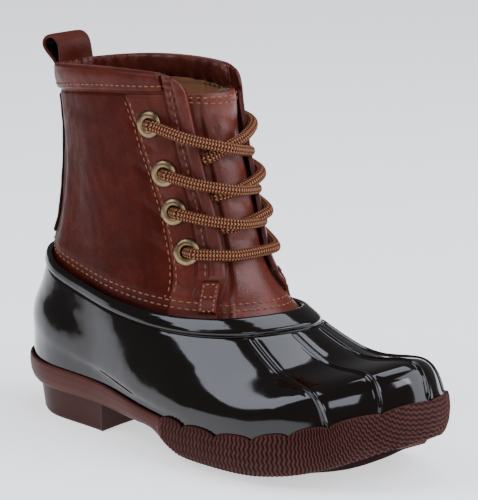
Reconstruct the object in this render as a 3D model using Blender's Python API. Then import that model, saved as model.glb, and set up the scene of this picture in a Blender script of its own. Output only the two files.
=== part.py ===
import bpy
import bmesh
from math import cos, hypot, pi, sin, sqrt
from mathutils import Matrix, Vector

for old in list(bpy.data.objects):
    bpy.data.objects.remove(old, do_unlink=True)

MM = 0.001

# Sizes of the whole boot, in metres
LENGTH = 180.0 * MM
BALL_WIDTH = 72.6 * MM
COLLAR_HEIGHT = 127.3 * MM
HEEL_CENTRE = 25.0 * MM

# Walls and clearances
GAP = 0.3 * MM
CUP_GAP = 0.35 * MM
FLOOR_GAP = 0.5 * MM
SHELL_WALL = 2.0 * MM
LEATHER_WALL = 1.6 * MM
TONGUE_WALL = 1.5 * MM
TONGUE_SLACK = 1.4 * MM
INSOLE_THICK = 3.0 * MM
STRAP_THICK = 1.3 * MM

# Sole
FLANGE_BOTTOM = 10.0 * MM
TOE_SPRING = 14.5 * MM
SPRING_START = 0.69
SPRING_POWER = 1.15
HEEL_FLOOR = 12.6 * MM
FLOOR_RISE = 6.0 * MM
HEEL_FRONT = 0.295
FLOOR_RAMP_START = 0.60
FLOOR_RAMP = 0.15
KEEL_START = 0.50
KEEL_END = 0.75
KEEL_LIFT = 0.3 * MM
BALL_REST = 16.0 * MM
BALL_REST_WIDTH = 28.0 * MM
BALL_REST_X = 98.0 * MM
RIB_PITCH = 3.5 * MM
RIB_DEPTH = 0.5 * MM
SCALLOP_RISE = 2.2 * MM

# Rim of the shell and the leather inside it
RIM_PROUD = 1.2 * MM
RIM_GROOVE = 0.35 * MM
SEAT = 1.1 * MM
SHELL_RIB = 1.0 * MM
RIM_LEVEL = 4.0
BAND_LEVEL = 3.67
TUCK_LEVEL = 3.56

# Overlays of the upper
EYESTAY_STEP = 0.45 * MM
STRIP_STEP = 0.4 * MM
CUFF_STEP = 0.8 * MM
CUFF_LEVEL = 7.38
CORNER_DROP = 0.45

# Eyelets and lace
EYELET_HOLE = 2.75 * MM
EYELET_RADIUS = 5.2 * MM
LACE_RADIUS = 2.0 * MM

# Outline of the sole seen from above, heel back first, then the outer side, toe and inner side:
# share of the length, share of the ball width
OUTLINE = [
    (0.000, 0.000),
    (0.022, -0.181),
    (0.116, -0.326),
    (0.290, -0.378),
    (0.440, -0.462),
    (0.605, -0.510),
    (0.758, -0.484),
    (0.898, -0.322),
    (1.000, 0.075),
    (0.940, 0.360),
    (0.790, 0.478),
    (0.619, 0.438),
    (0.450, 0.365),
    (0.280, 0.360),
    (0.120, 0.340),
    (0.030, 0.190),
]

# Courses from the sole up to the collar, one per level:
# back x, front x, back height, side height, front height, width, middle y, oval share, sole line share
COURSES = [
    (0.010, 0.990, -0.050, -0.050, -0.050, 0.957, 0.000, 0.00, 1.00),
    (0.010, 0.990, 0.055, 0.006, 0.000, 0.957, 0.000, 0.00, 1.00),
    (0.014, 0.944, 0.208, 0.100, 0.197, 0.945, -0.008, 0.05, 0.60),
    (0.035, 0.808, 0.348, 0.255, 0.285, 0.819, -0.011, 0.20, 0.20),
    (0.053, 0.662, 0.473, 0.394, 0.404, 0.695, -0.006, 0.45, 0.00),
    (0.079, 0.587, 0.579, 0.535, 0.509, 0.610, -0.002, 0.70, 0.00),
    (0.088, 0.551, 0.738, 0.725, 0.698, 0.556, 0.005, 0.90, 0.00),
    (0.081, 0.521, 0.887, 0.902, 0.888, 0.546, 0.006, 1.00, 0.00),
    (0.063, 0.510, 0.998, 1.031, 1.025, 0.540, 0.007, 1.00, 0.00),
]
OVAL_SQUARE = 0.91

# Top line of the sole rand along the length: share of length, height
SOLE_LINE = [
    (0.00, 20.0 * MM),
    (0.30, 19.0 * MM),
    (0.55, 15.2 * MM),
    (0.75, 16.6 * MM),
    (1.00, 30.8 * MM),
]

# Lower edge of the sole along the length: share of length, height
LOW_EDGE = [
    (0.00, 10.0 * MM),
    (0.44, 10.0 * MM),
    (0.475, 9.3 * MM),
    (0.50, 7.2 * MM),
    (0.525, 4.6 * MM),
    (0.56, 3.5 * MM),
    (0.66, 3.3 * MM),
    (0.74, 3.7 * MM),
    (0.79, 4.6 * MM),
    (0.84, 6.2 * MM),
    (0.90, 9.0 * MM),
    (0.95, 12.4 * MM),
    (1.00, 16.0 * MM),
]

# Edge of the throat by level: level, turn of the near edge
THROAT = [
    (3.40, 0.386),
    (3.95, 0.397),
    (4.30, 0.414),
    (4.80, 0.433),
    (5.20, 0.4375),
    (5.60, 0.431),
    (6.10, 0.4165),
    (6.50, 0.408),
    (7.00, 0.400),
    (7.50, 0.392),
    (8.00, 0.384),
]
THROAT_LEAN = 0.010

# Eyelets of one side: turn, level, drop of the lace that crosses from them
EYELETS = [
    (0.314, 6.95, 0.40),
    (0.332, 6.25, 0.21),
    (0.347, 5.74, 0.13),
    (0.371, 5.225, 0.0),
]

# Cusps of the rand's scalloped edge, and the ribs of the shell that run down to them
CUSPS = [0.2755, 0.300, 0.334, 0.3695, 0.4015, 0.4325, 0.4655, 0.500]
SHELL_RIBS = [0.4325, 0.4655, 0.500, 0.5345, 0.5675]


def clamp(value, low=0.0, high=1.0):
    return max(low, min(high, value))


def ease(value):
    q = clamp(value)
    return q * q * (3.0 - 2.0 * q)


def mix(a, b, share):
    return a + (b - a) * share


def spline(before, first, second, after, f):
    return 0.5 * (
        2.0 * first
        + (second - before) * f
        + (2.0 * before - 5.0 * first + 4.0 * second - after) * f * f
        + (3.0 * first - before - 3.0 * second + after) * f * f * f
    )


def through(stations, where):
    """Smooth height through uneven stations."""
    last = len(stations) - 1
    where = clamp(where, stations[0][0], stations[last][0])
    k = 0
    while k < last - 1 and where > stations[k + 1][0]:
        k += 1
    x0, y0 = stations[k]
    x1, y1 = stations[k + 1]
    span = x1 - x0
    slopes = []
    for j in (k, k + 1):
        a = stations[max(j - 1, 0)]
        b = stations[min(j + 1, last)]
        slopes.append((b[1] - a[1]) / (b[0] - a[0]))
    f = (where - x0) / span
    return (
        y0 * (1 + 2 * f) * (1 - f) ** 2
        + slopes[0] * span * f * (1 - f) ** 2
        + y1 * f * f * (3 - 2 * f)
        + slopes[1] * span * f * f * (f - 1)
    )


def outline(turn):
    count = len(OUTLINE)
    place = (turn % 1.0) * count
    k = int(place)
    f = place - k
    four = [OUTLINE[(k + j) % count] for j in (-1, 0, 1, 2)]
    return [spline(*[row[axis] for row in four], f) for axis in (0, 1)]


def oval(turn):
    c = cos(2 * pi * turn)
    s = sin(2 * pi * turn)
    c = abs(c) ** OVAL_SQUARE * (1 if c > 0 else -1)
    s = abs(s) ** OVAL_SQUARE * (1 if s > 0 else -1)
    return [0.5 - 0.5 * c, -0.5 * s]


def sole_line(share):
    return through(SOLE_LINE, share)


def course(level):
    last = len(COURSES) - 1
    level = clamp(level, 0.0, last)
    k = min(int(level), last - 1)
    four = [COURSES[int(clamp(k + j, 0, last))] for j in (-1, 0, 1, 2)]
    return [spline(*[row[column] for row in four], level - k) for column in range(9)]


def surface(turn, level):
    back, front, back_z, side_z, front_z, width, middle, blend, follow = course(level)
    sole = outline(turn)
    top = oval(turn)
    qx = mix(sole[0], top[0], blend)
    qy = mix(sole[1], top[1], blend)
    x = back + (front - back) * qx
    y = qy * width + middle
    z = back_z * 2 * (qx - 0.5) * (qx - 1) + side_z * 4 * qx * (1 - qx) + front_z * 2 * qx * (qx - 0.5)
    return Vector((x * LENGTH - HEEL_CENTRE, y * BALL_WIDTH, z * COLLAR_HEIGHT + follow * sole_line(x)))


def outward(turn, level):
    step = 0.004
    around = surface(turn + step, level) - surface(turn - step, level)
    up = surface(turn, level + 0.03) - surface(turn, level - 0.03)
    return around.cross(up).normalized()


def point(turn, level, offset=0.0):
    return surface(turn, level) + outward(turn, level) * offset


def throat(level):
    return through(THROAT, level)


# Mesh helpers: rows are lists of (key, vertex) and rows of unlike counts are sewn by their keys
def sew(mesh, first, second, closed=False):
    a = list(first)
    b = list(second)
    if closed:
        a.append((a[0][0] + 1.0, a[0][1]))
        b.append((b[0][0] + 1.0, b[0][1]))
    i = 0
    j = 0
    while i < len(a) - 1 or j < len(b) - 1:
        next_a = a[i + 1][0] if i < len(a) - 1 else 1e9
        next_b = b[j + 1][0] if j < len(b) - 1 else 1e9
        if abs(next_a - next_b) < 1e-6:
            corners = [a[i][1], a[i + 1][1], b[j + 1][1], b[j][1]]
            i += 1
            j += 1
        elif next_a < next_b:
            corners = [a[i][1], a[i + 1][1], b[j][1]]
            i += 1
        else:
            corners = [a[i][1], b[j + 1][1], b[j][1]]
            j += 1
        if len(set(corners)) > 2:
            mesh.faces.new(list(dict.fromkeys(corners)))


def row(mesh, keys, place):
    return [(key, mesh.verts.new(place(key))) for key in keys]


def zip_across(mesh, loop):
    """Close a flat loop from side to side."""
    count = len(loop)
    half = count // 2
    verts = [vert for key, vert in loop]
    for k in range(half):
        a = verts[k]
        b = verts[k + 1]
        c = verts[(count - k - 1) % count]
        d = verts[(count - k) % count]
        corners = list(dict.fromkeys([a, b, c, d]))
        if len(corners) > 2:
            mesh.faces.new(corners)


MATERIALS = {}


def material(name, colour, roughness, metallic=0.0):
    made = bpy.data.materials.new(name)
    made.use_nodes = True
    shader = made.node_tree.nodes["Principled BSDF"]
    shader.inputs["Base Color"].default_value = (*colour, 1.0)
    shader.inputs["Roughness"].default_value = roughness
    shader.inputs["Metallic"].default_value = metallic
    made.diffuse_color = (*colour, 1.0)
    MATERIALS[name] = made
    return made


def finish(mesh, name, surface_material, smooth=True):
    bmesh.ops.recalc_face_normals(mesh, faces=mesh.faces[:])
    data = bpy.data.meshes.new(name)
    mesh.to_mesh(data)
    mesh.free()
    for face in data.polygons:
        face.use_smooth = smooth
    data.materials.append(surface_material)
    thing = bpy.data.objects.new(name, data)
    bpy.context.scene.collection.objects.link(thing)
    return thing


def combine(target, other, operation):
    change = target.modifiers.new(operation.lower(), "BOOLEAN")
    change.operation = operation
    change.solver = "EXACT"
    change.object = other
    other.display_type = "WIRE"
    other.hide_render = True
    other.hide_viewport = True
    return change


def settle(target):
    """Apply the Boolean steps and drop their cutters."""
    bpy.context.view_layer.update()
    graph = bpy.context.evaluated_depsgraph_get()
    solid = bpy.data.meshes.new_from_object(target.evaluated_get(graph))
    cutters = [change.object for change in target.modifiers]
    target.modifiers.clear()
    target.data = solid
    for cutter in cutters:
        bpy.data.objects.remove(cutter, do_unlink=True)
    return target


brown_rubber = material("brown_rubber", (0.062, 0.034, 0.030), 0.48)
shell_rubber = material("shell_rubber", (0.010, 0.006, 0.005), 0.14)
brown_leather = material("brown_leather", (0.085, 0.026, 0.019), 0.42)
tongue_leather = material("tongue_leather", (0.135, 0.050, 0.038), 0.40)
dark_leather = material("dark_leather", (0.020, 0.012, 0.011), 0.50)
loop_leather = material("loop_leather", (0.075, 0.028, 0.022), 0.45)
foot_bed = material("foot_bed", (0.110, 0.070, 0.045), 0.85)
antique_brass = material("antique_brass", (0.370, 0.235, 0.150), 0.38, 1.0)
lace_cord = material("lace_cord", (0.300, 0.130, 0.060), 0.75)


# Heights along the sole, by share of the length
def spring(share):
    return TOE_SPRING * clamp((share - SPRING_START) / (1.0 - SPRING_START)) ** SPRING_POWER


def low_edge(share):
    return through(LOW_EDGE, share)


def keel_height(share):
    """Middle of the underside, lower than the edge under the ball of the foot."""
    belly = ease((share - KEEL_START) / 0.06) * (1.0 - ease((share - KEEL_END) / 0.20))
    return mix(low_edge(share), KEEL_LIFT, belly)


def floor_height(share):
    ball = FLOOR_RISE + spring(share)
    return mix(HEEL_FLOOR, ball, ease((share - FLOOR_RAMP_START) / FLOOR_RAMP))


def share_of(x):
    return clamp((x + HEEL_CENTRE) / LENGTH)


def sole_point(turn, height, inset):
    """A point of the sole outline moved inward on the level."""
    step = 0.002
    here = Vector(outline(turn))
    a = Vector(outline(turn - step))
    b = Vector(outline(turn + step))
    along = Vector(((b.x - a.x) * LENGTH, (b.y - a.y) * BALL_WIDTH)).normalized()
    x = here.x * LENGTH - along.y * inset
    y = here.y * BALL_WIDTH + along.x * inset
    return Vector((x - HEEL_CENTRE, y, height(clamp(x / LENGTH)) if callable(height) else height))


def toward_spine(spot, keep, height):
    """Slide a floor point toward the middle line of the foot."""
    middle = 0.5 * LENGTH - HEEL_CENTRE
    reach = abs(spot.x - middle) / (0.5 * LENGTH)
    x = mix(middle, spot.x, 1.0 - (1.0 - keep) * 0.35 * reach ** 4)
    y = spot.y * keep
    return Vector((x, y, height(share_of(x))))


def turns(count):
    return [k / count for k in range(count)]


def arc_table(count=720):
    lengths = [0.0]
    for k in range(count):
        a = outline(k / count)
        b = outline((k + 1) / count)
        lengths.append(lengths[-1] + hypot((b[0] - a[0]) * LENGTH, (b[1] - a[1]) * BALL_WIDTH))
    return lengths


ARCS = arc_table()


def turn_at(arc):
    low = 0
    high = len(ARCS) - 1
    while high - low > 1:
        middle = (low + high) // 2
        if ARCS[middle] <= arc:
            low = middle
        else:
            high = middle
    f = (arc - ARCS[low]) / (ARCS[high] - ARCS[low])
    return (low + f) / (len(ARCS) - 1)


def arc_at(turn):
    place = turn * (len(ARCS) - 1)
    k = min(int(place), len(ARCS) - 2)
    return mix(ARCS[k], ARCS[k + 1], place - k)


def scallop(turn):
    """Rise of the rand's top edge between its cusps."""
    side = turn if turn <= 0.5 else 1.0 - turn
    for a, b in zip(CUSPS, CUSPS[1:]):
        if a <= side <= b:
            f = (side - a) / (b - a)
            depth = mix(1.0, 0.45, ease((side - 0.40) / 0.10))
            return SCALLOP_RISE * depth * (sqrt(max(0.0, 1.0 - (2 * f - 1) ** 2)) - 0.45)
    return 0.0


# Outsole: rand and flange, cup for the shell, heel block, tread pockets
RAND_START = CUSPS[0]
rand_from = arc_at(RAND_START)
rand_to = arc_at(1.0 - RAND_START)
rib_count = int((rand_to - rand_from) / RIB_PITCH)
rib_turns = [turn_at(mix(rand_from, rand_to, k / (2 * rib_count))) for k in range(2 * rib_count + 1)]
back_step = RAND_START / 26
smooth_near = [k * back_step for k in range(26)]
smooth_far = [1.0 - k * back_step for k in range(25, 0, -1)]
rand_turns = smooth_near + rib_turns + smooth_far
rib_of = {round(turn, 9): k for k, turn in enumerate(rib_turns)}


def rib(turn):
    k = rib_of.get(round(turn, 9))
    if k is None:
        return 0.0
    return RIB_DEPTH * (k % 2)


def rand_row(down, inset, ribbed):
    def place(turn):
        def height(share):
            return mix(sole_line(share) + scallop(turn), low_edge(share), down)
        return sole_point(turn, height, inset + rib(turn) * ribbed)
    return place


def cup_wall(turn):
    side = outward(turn, 0.5)
    side.z = 0.0
    return surface(turn, 0.5) + side.normalized() * CUP_GAP


def cup_top(turn):
    spot = cup_wall(turn)
    spot.z = sole_line(share_of(spot.x)) + scallop(turn)
    return spot


def cup_bottom(turn):
    spot = cup_wall(turn)
    spot.z = floor_height(share_of(spot.x))
    return spot


def shell_turns():
    keys = set()
    for k in range(60):
        keys.add(round(k / 60, 5))
    for centre in SHELL_RIBS:
        near_keys = {key for key in keys if abs(key - centre) < 0.0095}
        keys -= near_keys
        for shift in (-0.0032, -0.0009, 0.0009, 0.0032):
            keys.add(round(centre + shift, 5))
    return sorted(keys)


shell_keys = shell_turns()
sole = bmesh.new()
top = row(sole, rand_turns, rand_row(0.0, 0.25 * MM, 0.6))
crown = row(sole, rand_turns, rand_row(0.22, 0.0, 1.0))
belly = row(sole, rand_turns, rand_row(0.62, 0.7 * MM, 1.0))
foot = row(sole, rand_turns, rand_row(1.0, 2.4 * MM, 1.0))
under = row(sole, turns(96), lambda turn: sole_point(turn, low_edge, 3.8 * MM))
keel = row(sole, turns(48), lambda turn: toward_spine(sole_point(turn, low_edge, 3.8 * MM), 0.45, keel_height))
lip = row(sole, shell_keys, cup_top)
wall = row(sole, shell_keys, cup_bottom)
bed = row(sole, turns(36), lambda turn: toward_spine(cup_bottom(turn), 0.45, floor_height))
for first, second in zip([bed, wall, lip, top, crown, belly, foot, under], [wall, lip, top, crown, belly, foot, under, keel]):
    sew(sole, first, second, True)
zip_across(sole, bed)
zip_across(sole, keel)
outsole = finish(sole, "outsole", brown_rubber)

heel = bmesh.new()
heel_turns = [k / 48 for k in range(-12, 13)]


def heel_loop(height, inset, back_inset):
    loop = []
    for turn in heel_turns:
        inward = inset + (back_inset - inset) * ease(1.0 - outline(turn)[0] / 0.16)
        spot = sole_point(turn, height, inward)
        if spot.x + HEEL_CENTRE < HEEL_FRONT * LENGTH:
            loop.append(spot)
    front = HEEL_FRONT * LENGTH - HEEL_CENTRE
    near_y = loop[-1].y - 0.3 * MM
    far_y = loop[0].y + 0.3 * MM
    for k in range(7):
        f = k / 6
        loop.append(Vector((front - 2.0 * MM * sin(pi * f), mix(near_y, far_y, f), height)))
    return [heel.verts.new(spot) for spot in loop]


lower = heel_loop(0.0, 3.0 * MM, 6.0 * MM)
upper_loop = heel_loop(FLANGE_BOTTOM + 1.2 * MM, 2.9 * MM, 4.0 * MM)
for k in range(len(lower)):
    j = (k + 1) % len(lower)
    heel.faces.new([lower[k], lower[j], upper_loop[j], upper_loop[k]])
heel.faces.new(lower)
heel.faces.new(upper_loop)
block = finish(heel, "heel_block", brown_rubber, False)
combine(outsole, block, "UNION")

# Flat rest under the ball of the foot, on the heel's plane
rest = bmesh.new()
bmesh.ops.create_cube(rest, size=1.0)
bmesh.ops.scale(rest, verts=rest.verts, vec=(BALL_REST, BALL_REST_WIDTH, 2.0 * MM))
bmesh.ops.transform(rest, matrix=Matrix.Translation((BALL_REST_X, 0.0, 1.0 * MM)), verts=rest.verts)
combine(outsole, finish(rest, "ball_rest", brown_rubber, False), "UNION")


def pocket(x, width, length, depth, height):
    cut = bmesh.new()
    bmesh.ops.create_cube(cut, size=1.0)
    bmesh.ops.scale(cut, verts=cut.verts, vec=(length, width, 2 * depth))
    slope = (keel_height(share_of(x) + 0.02) - keel_height(share_of(x) - 0.02)) / (0.04 * LENGTH)
    if height == 0.0 and x < 0.05:
        slope = 0.0
    turned = Matrix.Rotation(-slope, 4, "Y")
    bmesh.ops.transform(cut, matrix=Matrix.Translation((x, 0.0, height)) @ turned, verts=cut.verts)
    return finish(cut, "pocket", brown_rubber, False)


# Tread pockets: x from the heel centre, width across, length along, depth
TREAD = [
    (-0.011, 0.024, 0.003, 0.0016),
    (0.011, 0.036, 0.003, 0.0016),
    (0.019, 0.038, 0.003, 0.0016),
    (0.110, 0.050, 0.0035, 0.0016),
    (0.119, 0.048, 0.0035, 0.0016),
    (0.128, 0.042, 0.0035, 0.0016),
    (0.137, 0.030, 0.0035, 0.0016),
]
for x, width, length, depth in TREAD:
    level_here = 0.0 if x < 0.05 else keel_height(share_of(x))
    combine(outsole, pocket(x, width, length, depth, level_here), "DIFFERENCE")
settle(outsole)


# Shell: the glossy rubber lower with five ribs and a raised rim band
def shell_offset(turn, level):
    if level > BAND_LEVEL:
        return RIM_PROUD
    near = min(abs(turn - centre) for centre in SHELL_RIBS)
    rib_height = SHELL_RIB if near < 0.0015 and level > 1.1 else 0.0
    return rib_height * ease((BAND_LEVEL - level) / 0.12)


def shell_floor(turn, offset):
    spot = surface(turn, 0.5)
    side = outward(turn, 0.5)
    side.z = 0.0
    spot += side.normalized() * offset
    spot.z = floor_height(share_of(spot.x)) + FLOOR_GAP
    return spot


shell = bmesh.new()
outer_rows = [row(shell, shell_keys, lambda turn: shell_floor(turn, 0.0))]
SHELL_LEVELS = [0.55, 1.0, 1.22, 1.6, 2.0, 2.4, 2.8, 3.2, 3.55]
for level in SHELL_LEVELS:
    outer_rows.append(row(shell, shell_keys, lambda turn, v=level: point(turn, v, shell_offset(turn, v))))
outer_rows.append(row(shell, shell_keys, lambda turn: point(turn, BAND_LEVEL - 0.01, -RIM_GROOVE)))
outer_rows.append(row(shell, shell_keys, lambda turn: point(turn, BAND_LEVEL + 0.03, RIM_PROUD)))
outer_rows.append(row(shell, shell_keys, lambda turn: point(turn, RIM_LEVEL - 0.04, RIM_PROUD)))
rim_keys = turns(60)
outer_rows.append(row(shell, rim_keys, lambda turn: point(turn, RIM_LEVEL, RIM_PROUD - 0.45 * MM)))
outer_rows.append(row(shell, rim_keys, lambda turn: point(turn, RIM_LEVEL, -SEAT)))
outer_rows.append(row(shell, rim_keys, lambda turn: point(turn, TUCK_LEVEL - 0.03, -SEAT)))
inner_keys = turns(36)
outer_rows.append(row(shell, inner_keys, lambda turn: point(turn, TUCK_LEVEL - 0.07, -SHELL_WALL)))
for level in (2.8, 2.1, 1.4, 0.6):
    outer_rows.append(row(shell, inner_keys, lambda turn, v=level: point(turn, v, -SHELL_WALL)))
outer_rows.append(row(shell, inner_keys, lambda turn: shell_floor(turn, -SHELL_WALL)))
for first, second in zip(outer_rows, outer_rows[1:] + outer_rows[:1]):
    sew(shell, first, second, True)
finish(shell, "shell", shell_rubber)


# Insole: a cushioned bed inside the shell
def insole_point(turn, above, keep):
    spot = shell_floor(turn, -SHELL_WALL - 0.9 * MM)
    lift = lambda share: floor_height(share) + FLOOR_GAP + above
    if keep < 1.0:
        return toward_spine(spot, keep, lift)
    spot.z = lift(share_of(spot.x))
    return spot


insole = bmesh.new()
bed_keys = turns(72)
core_keys = turns(36)
stack = [
    row(insole, core_keys, lambda turn: insole_point(turn, 0.0, 0.45)),
    row(insole, bed_keys, lambda turn: insole_point(turn, 0.0, 1.0)),
    row(insole, bed_keys, lambda turn: insole_point(turn, INSOLE_THICK, 1.0)),
    row(insole, core_keys, lambda turn: insole_point(turn, INSOLE_THICK, 0.45)),
]
for first, second in zip(stack, stack[1:]):
    sew(insole, first, second, True)
zip_across(insole, stack[0])
zip_across(insole, stack[3])
finish(insole, "insole", foot_bed)


# Upper: one wall round the back from facing to facing, keyed by share of the way round
EYESTAY_SHARE = 0.70
EYESTAY_WIDEN = 0.115
STRIP_SHARE = 0.915


def lean_in(level):
    """Offset of the leather's outer face: inside the rim, then flush with the form."""
    return -(SEAT + GAP) * (1.0 - ease((level - 4.05) / 0.40))


def eyestay_line(level):
    return EYESTAY_SHARE + EYESTAY_WIDEN * clamp((7.4 - level) / 3.1)


def share_columns(level):
    line = eyestay_line(level)
    step = 0.012
    shares = [line * k / 13 for k in range(13)]
    shares += [line - step, line + step]
    shares += [mix(line + step, STRIP_SHARE - step, f) for f in (0.33, 0.67)]
    shares += [STRIP_SHARE - step, STRIP_SHARE + step, 0.97, 1.0]
    return shares


def wall_columns(level):
    half = share_columns(level)
    return [-share for share in reversed(half[1:])] + half


def far_edge(level):
    return 1.0 - throat(level) - THROAT_LEAN


def wall_turn(share, level):
    if share >= 0:
        return throat(level) * share
    return (1.0 - far_edge(level)) * share


def overlay(share, level):
    line = eyestay_line(level)
    side = abs(share)
    lift = EYESTAY_STEP if side > line else 0.0
    lift += STRIP_STEP if side > STRIP_SHARE else 0.0
    return lift * ease((level - 4.1) / 0.3)


def top_level(share):
    u = clamp((abs(share) - 0.87) / 0.13)
    return 8.0 - CORNER_DROP * (1.0 - sqrt(max(0.0, 1.0 - u * u)))


def cuff_level(share, up):
    base = CUFF_LEVEL + 0.10 * abs(share) ** 2
    return mix(min(base, top_level(share) - 0.08), top_level(share), up)


def upper_spot(share, level, deep, cuff=0.0):
    offset = lean_in(level) + overlay(share, level) * (0.0 if deep else 1.0) + cuff - deep
    return point(wall_turn(share, level), level, offset)


upper = bmesh.new()
column_count = len(wall_columns(5.0))
column_keys = [k / (column_count - 1) for k in range(column_count)]
OUTER_LEVELS = [TUCK_LEVEL + 0.02, 3.85, 4.1, 4.28, 4.5, 4.8, 5.2, 5.6, 6.0, 6.4, 6.8, 7.15]
outer = []
for level in OUTER_LEVELS:
    shares = wall_columns(level)
    outer.append([(key, upper.verts.new(upper_spot(share, level, 0.0))) for key, share in zip(column_keys, shares)])
for up, lift in ((0.0, 0.0), (0.05, 1.0), (0.5, 1.0), (0.93, 1.0), (1.0, 0.35)):
    shares = wall_columns(7.6)
    line = []
    for key, share in zip(column_keys, shares):
        level = cuff_level(share, up)
        spot = upper_spot(share, level, 0.0, CUFF_STEP * lift)
        line.append((key, upper.verts.new(spot)))
    outer.append(line)
inner_shares = [k / 14 - 1.0 for k in range(29)]
share_key = [k / 28 for k in range(29)]
inner = []
INNER_LEVELS = [TUCK_LEVEL + 0.02, 4.0, 4.4, 5.0, 5.7, 6.4, 7.1]
for level in INNER_LEVELS:
    inner.append([(key, upper.verts.new(upper_spot(share, level, LEATHER_WALL))) for key, share in zip(share_key, inner_shares)])
for up in (0.0, 1.0):
    line = []
    for key, share in zip(share_key, inner_shares):
        level = mix(7.6 if up == 0.0 else 8.0, top_level(share), 1.0 if up else 0.0)
        level = min(level, top_level(share)) if up else min(level, top_level(share) - 0.1)
        line.append((key, upper.verts.new(upper_spot(share, level, LEATHER_WALL))))
    inner.append(line)
for grid in (outer, inner):
    for first, second in zip(grid, grid[1:]):
        sew(upper, first, second)
sew(upper, outer[0], inner[0])
sew(upper, outer[-1], inner[-1])
for end in (0, -1):
    first = [(k / (len(outer) - 1), line[end][1]) for k, line in enumerate(outer)]
    second = [(k / (len(inner) - 1), line[end][1]) for k, line in enumerate(inner)]
    sew(upper, first, second)
upper_body = finish(upper, "upper", brown_leather)


# Eyelets: a turned ring through the facing at each hole
def frame_at(turn, level, offset):
    out = outward(turn, level)
    side = out.cross(Vector((0.0, 0.0, 1.0))).normalized()
    up = side.cross(out)
    turned = Matrix((side, up, out)).transposed().to_4x4()
    return Matrix.Translation(point(turn, level, offset)) @ turned


def disc(radius, depth, matrix, count=12):
    made = bmesh.new()
    bmesh.ops.create_cone(made, cap_ends=True, segments=count, radius1=radius, radius2=radius, depth=depth)
    bmesh.ops.transform(made, matrix=matrix, verts=made.verts)
    return finish(made, "cutter", brown_leather, False)


def eyelet_places():
    places = []
    for k, (turn, level, drop) in enumerate(EYELETS):
        places.append((f"eyelet_near_{k + 1}", turn, level))
        places.append((f"eyelet_far_{k + 1}", 1.0 - turn - THROAT_LEAN, level))
    return places


FACING_FACE = EYESTAY_STEP
# Profile of the turned ring: radius, height above the facing
EYELET_PROFILE = [
    (EYELET_HOLE - 0.75 * MM, 0.35 * MM),
    (EYELET_HOLE - 0.20 * MM, 1.00 * MM),
    (EYELET_HOLE + 0.90 * MM, 1.30 * MM),
    (EYELET_RADIUS - 0.35 * MM, 1.05 * MM),
    (EYELET_RADIUS, GAP),
    (EYELET_HOLE - GAP, GAP),
    (EYELET_HOLE - GAP, -1.9 * MM),
    (EYELET_HOLE - 0.75 * MM, -1.9 * MM),
]
for name, turn, level in eyelet_places():
    hole = disc(EYELET_HOLE, 12.0 * MM, frame_at(turn, level, 0.0))
    combine(upper_body, hole, "DIFFERENCE")
    ring = bmesh.new()
    seat = frame_at(turn, level, FACING_FACE)
    ring_count = 12
    loops = []
    for radius, height in EYELET_PROFILE:
        loops.append([
            (k / ring_count, ring.verts.new(
                seat @ Vector((radius * cos(2 * pi * k / ring_count), radius * sin(2 * pi * k / ring_count), height))
            ))
            for k in range(ring_count)
        ])
    for first, second in zip(loops, loops[1:] + loops[:1]):
        sew(ring, first, second, True)
    finish(ring, name, antique_brass)
settle(upper_body)


# Tongue: the vamp under the rim and the tongue behind the lace in one piece
def tongue_half(level):
    """Half width of the piece in turns at each level."""
    return 0.5 - throat(level) + 0.055


def tongue_offset(turn, level):
    edge = 0.5 - throat(level)
    slack = mix(0.35 * MM, TONGUE_SLACK, ease((level - 4.3) / 0.9))
    under = lean_in(level) - LEATHER_WALL - GAP - slack
    free = mix(-(SEAT + GAP), -1.7 * MM, ease((level - 4.0) / 1.0))
    free = mix(free, -2.4 * MM, ease((level - 5.2) / 1.5))
    inside = abs(turn - 0.5) / edge
    return mix(free, min(under, free), ease((inside - 0.72) / 0.20))


tongue = bmesh.new()
TONGUE_LEVELS = [TUCK_LEVEL + 0.02, 3.85, 4.05, 4.25, 4.5, 4.8, 5.2, 5.6, 6.0, 6.4, 6.8, 7.2, 7.5]
TONGUE_TOP = 7.58
faces = {}
for side, count, deep in (("front", 20, 0.0), ("back", 10, TONGUE_WALL)):
    grid = []
    for level in TONGUE_LEVELS + [TONGUE_TOP]:
        line = []
        for k in range(count + 1):
            across = -1.0 + 2.0 * k / count
            turn = 0.5 - 0.5 * THROAT_LEAN + tongue_half(level) * across
            height = level
            if level > 7.4:
                height = level - 0.12 * across * across
            spot = point(turn, height, tongue_offset(turn, height) - deep)
            line.append((k / count, tongue.verts.new(spot)))
        grid.append(line)
    for first, second in zip(grid, grid[1:]):
        sew(tongue, first, second)
    faces[side] = grid
sew(tongue, faces["front"][0], faces["back"][0])
sew(tongue, faces["front"][-1], faces["back"][-1])
for end in (0, -1):
    first = [(k, line[end][1]) for k, line in enumerate(faces["front"])]
    second = [(k, line[end][1]) for k, line in enumerate(faces["back"])]
    sew(tongue, first, second)
finish(tongue, "tongue", tongue_leather)


# Lace: a bar across the lowest eyelets and three crossings above it
BAR_LIFT = EYESTAY_STEP + 1.3 * MM + GAP + LACE_RADIUS
EDGE_LIFT = EYESTAY_STEP + STRIP_STEP + 0.4 * MM + LACE_RADIUS


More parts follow.
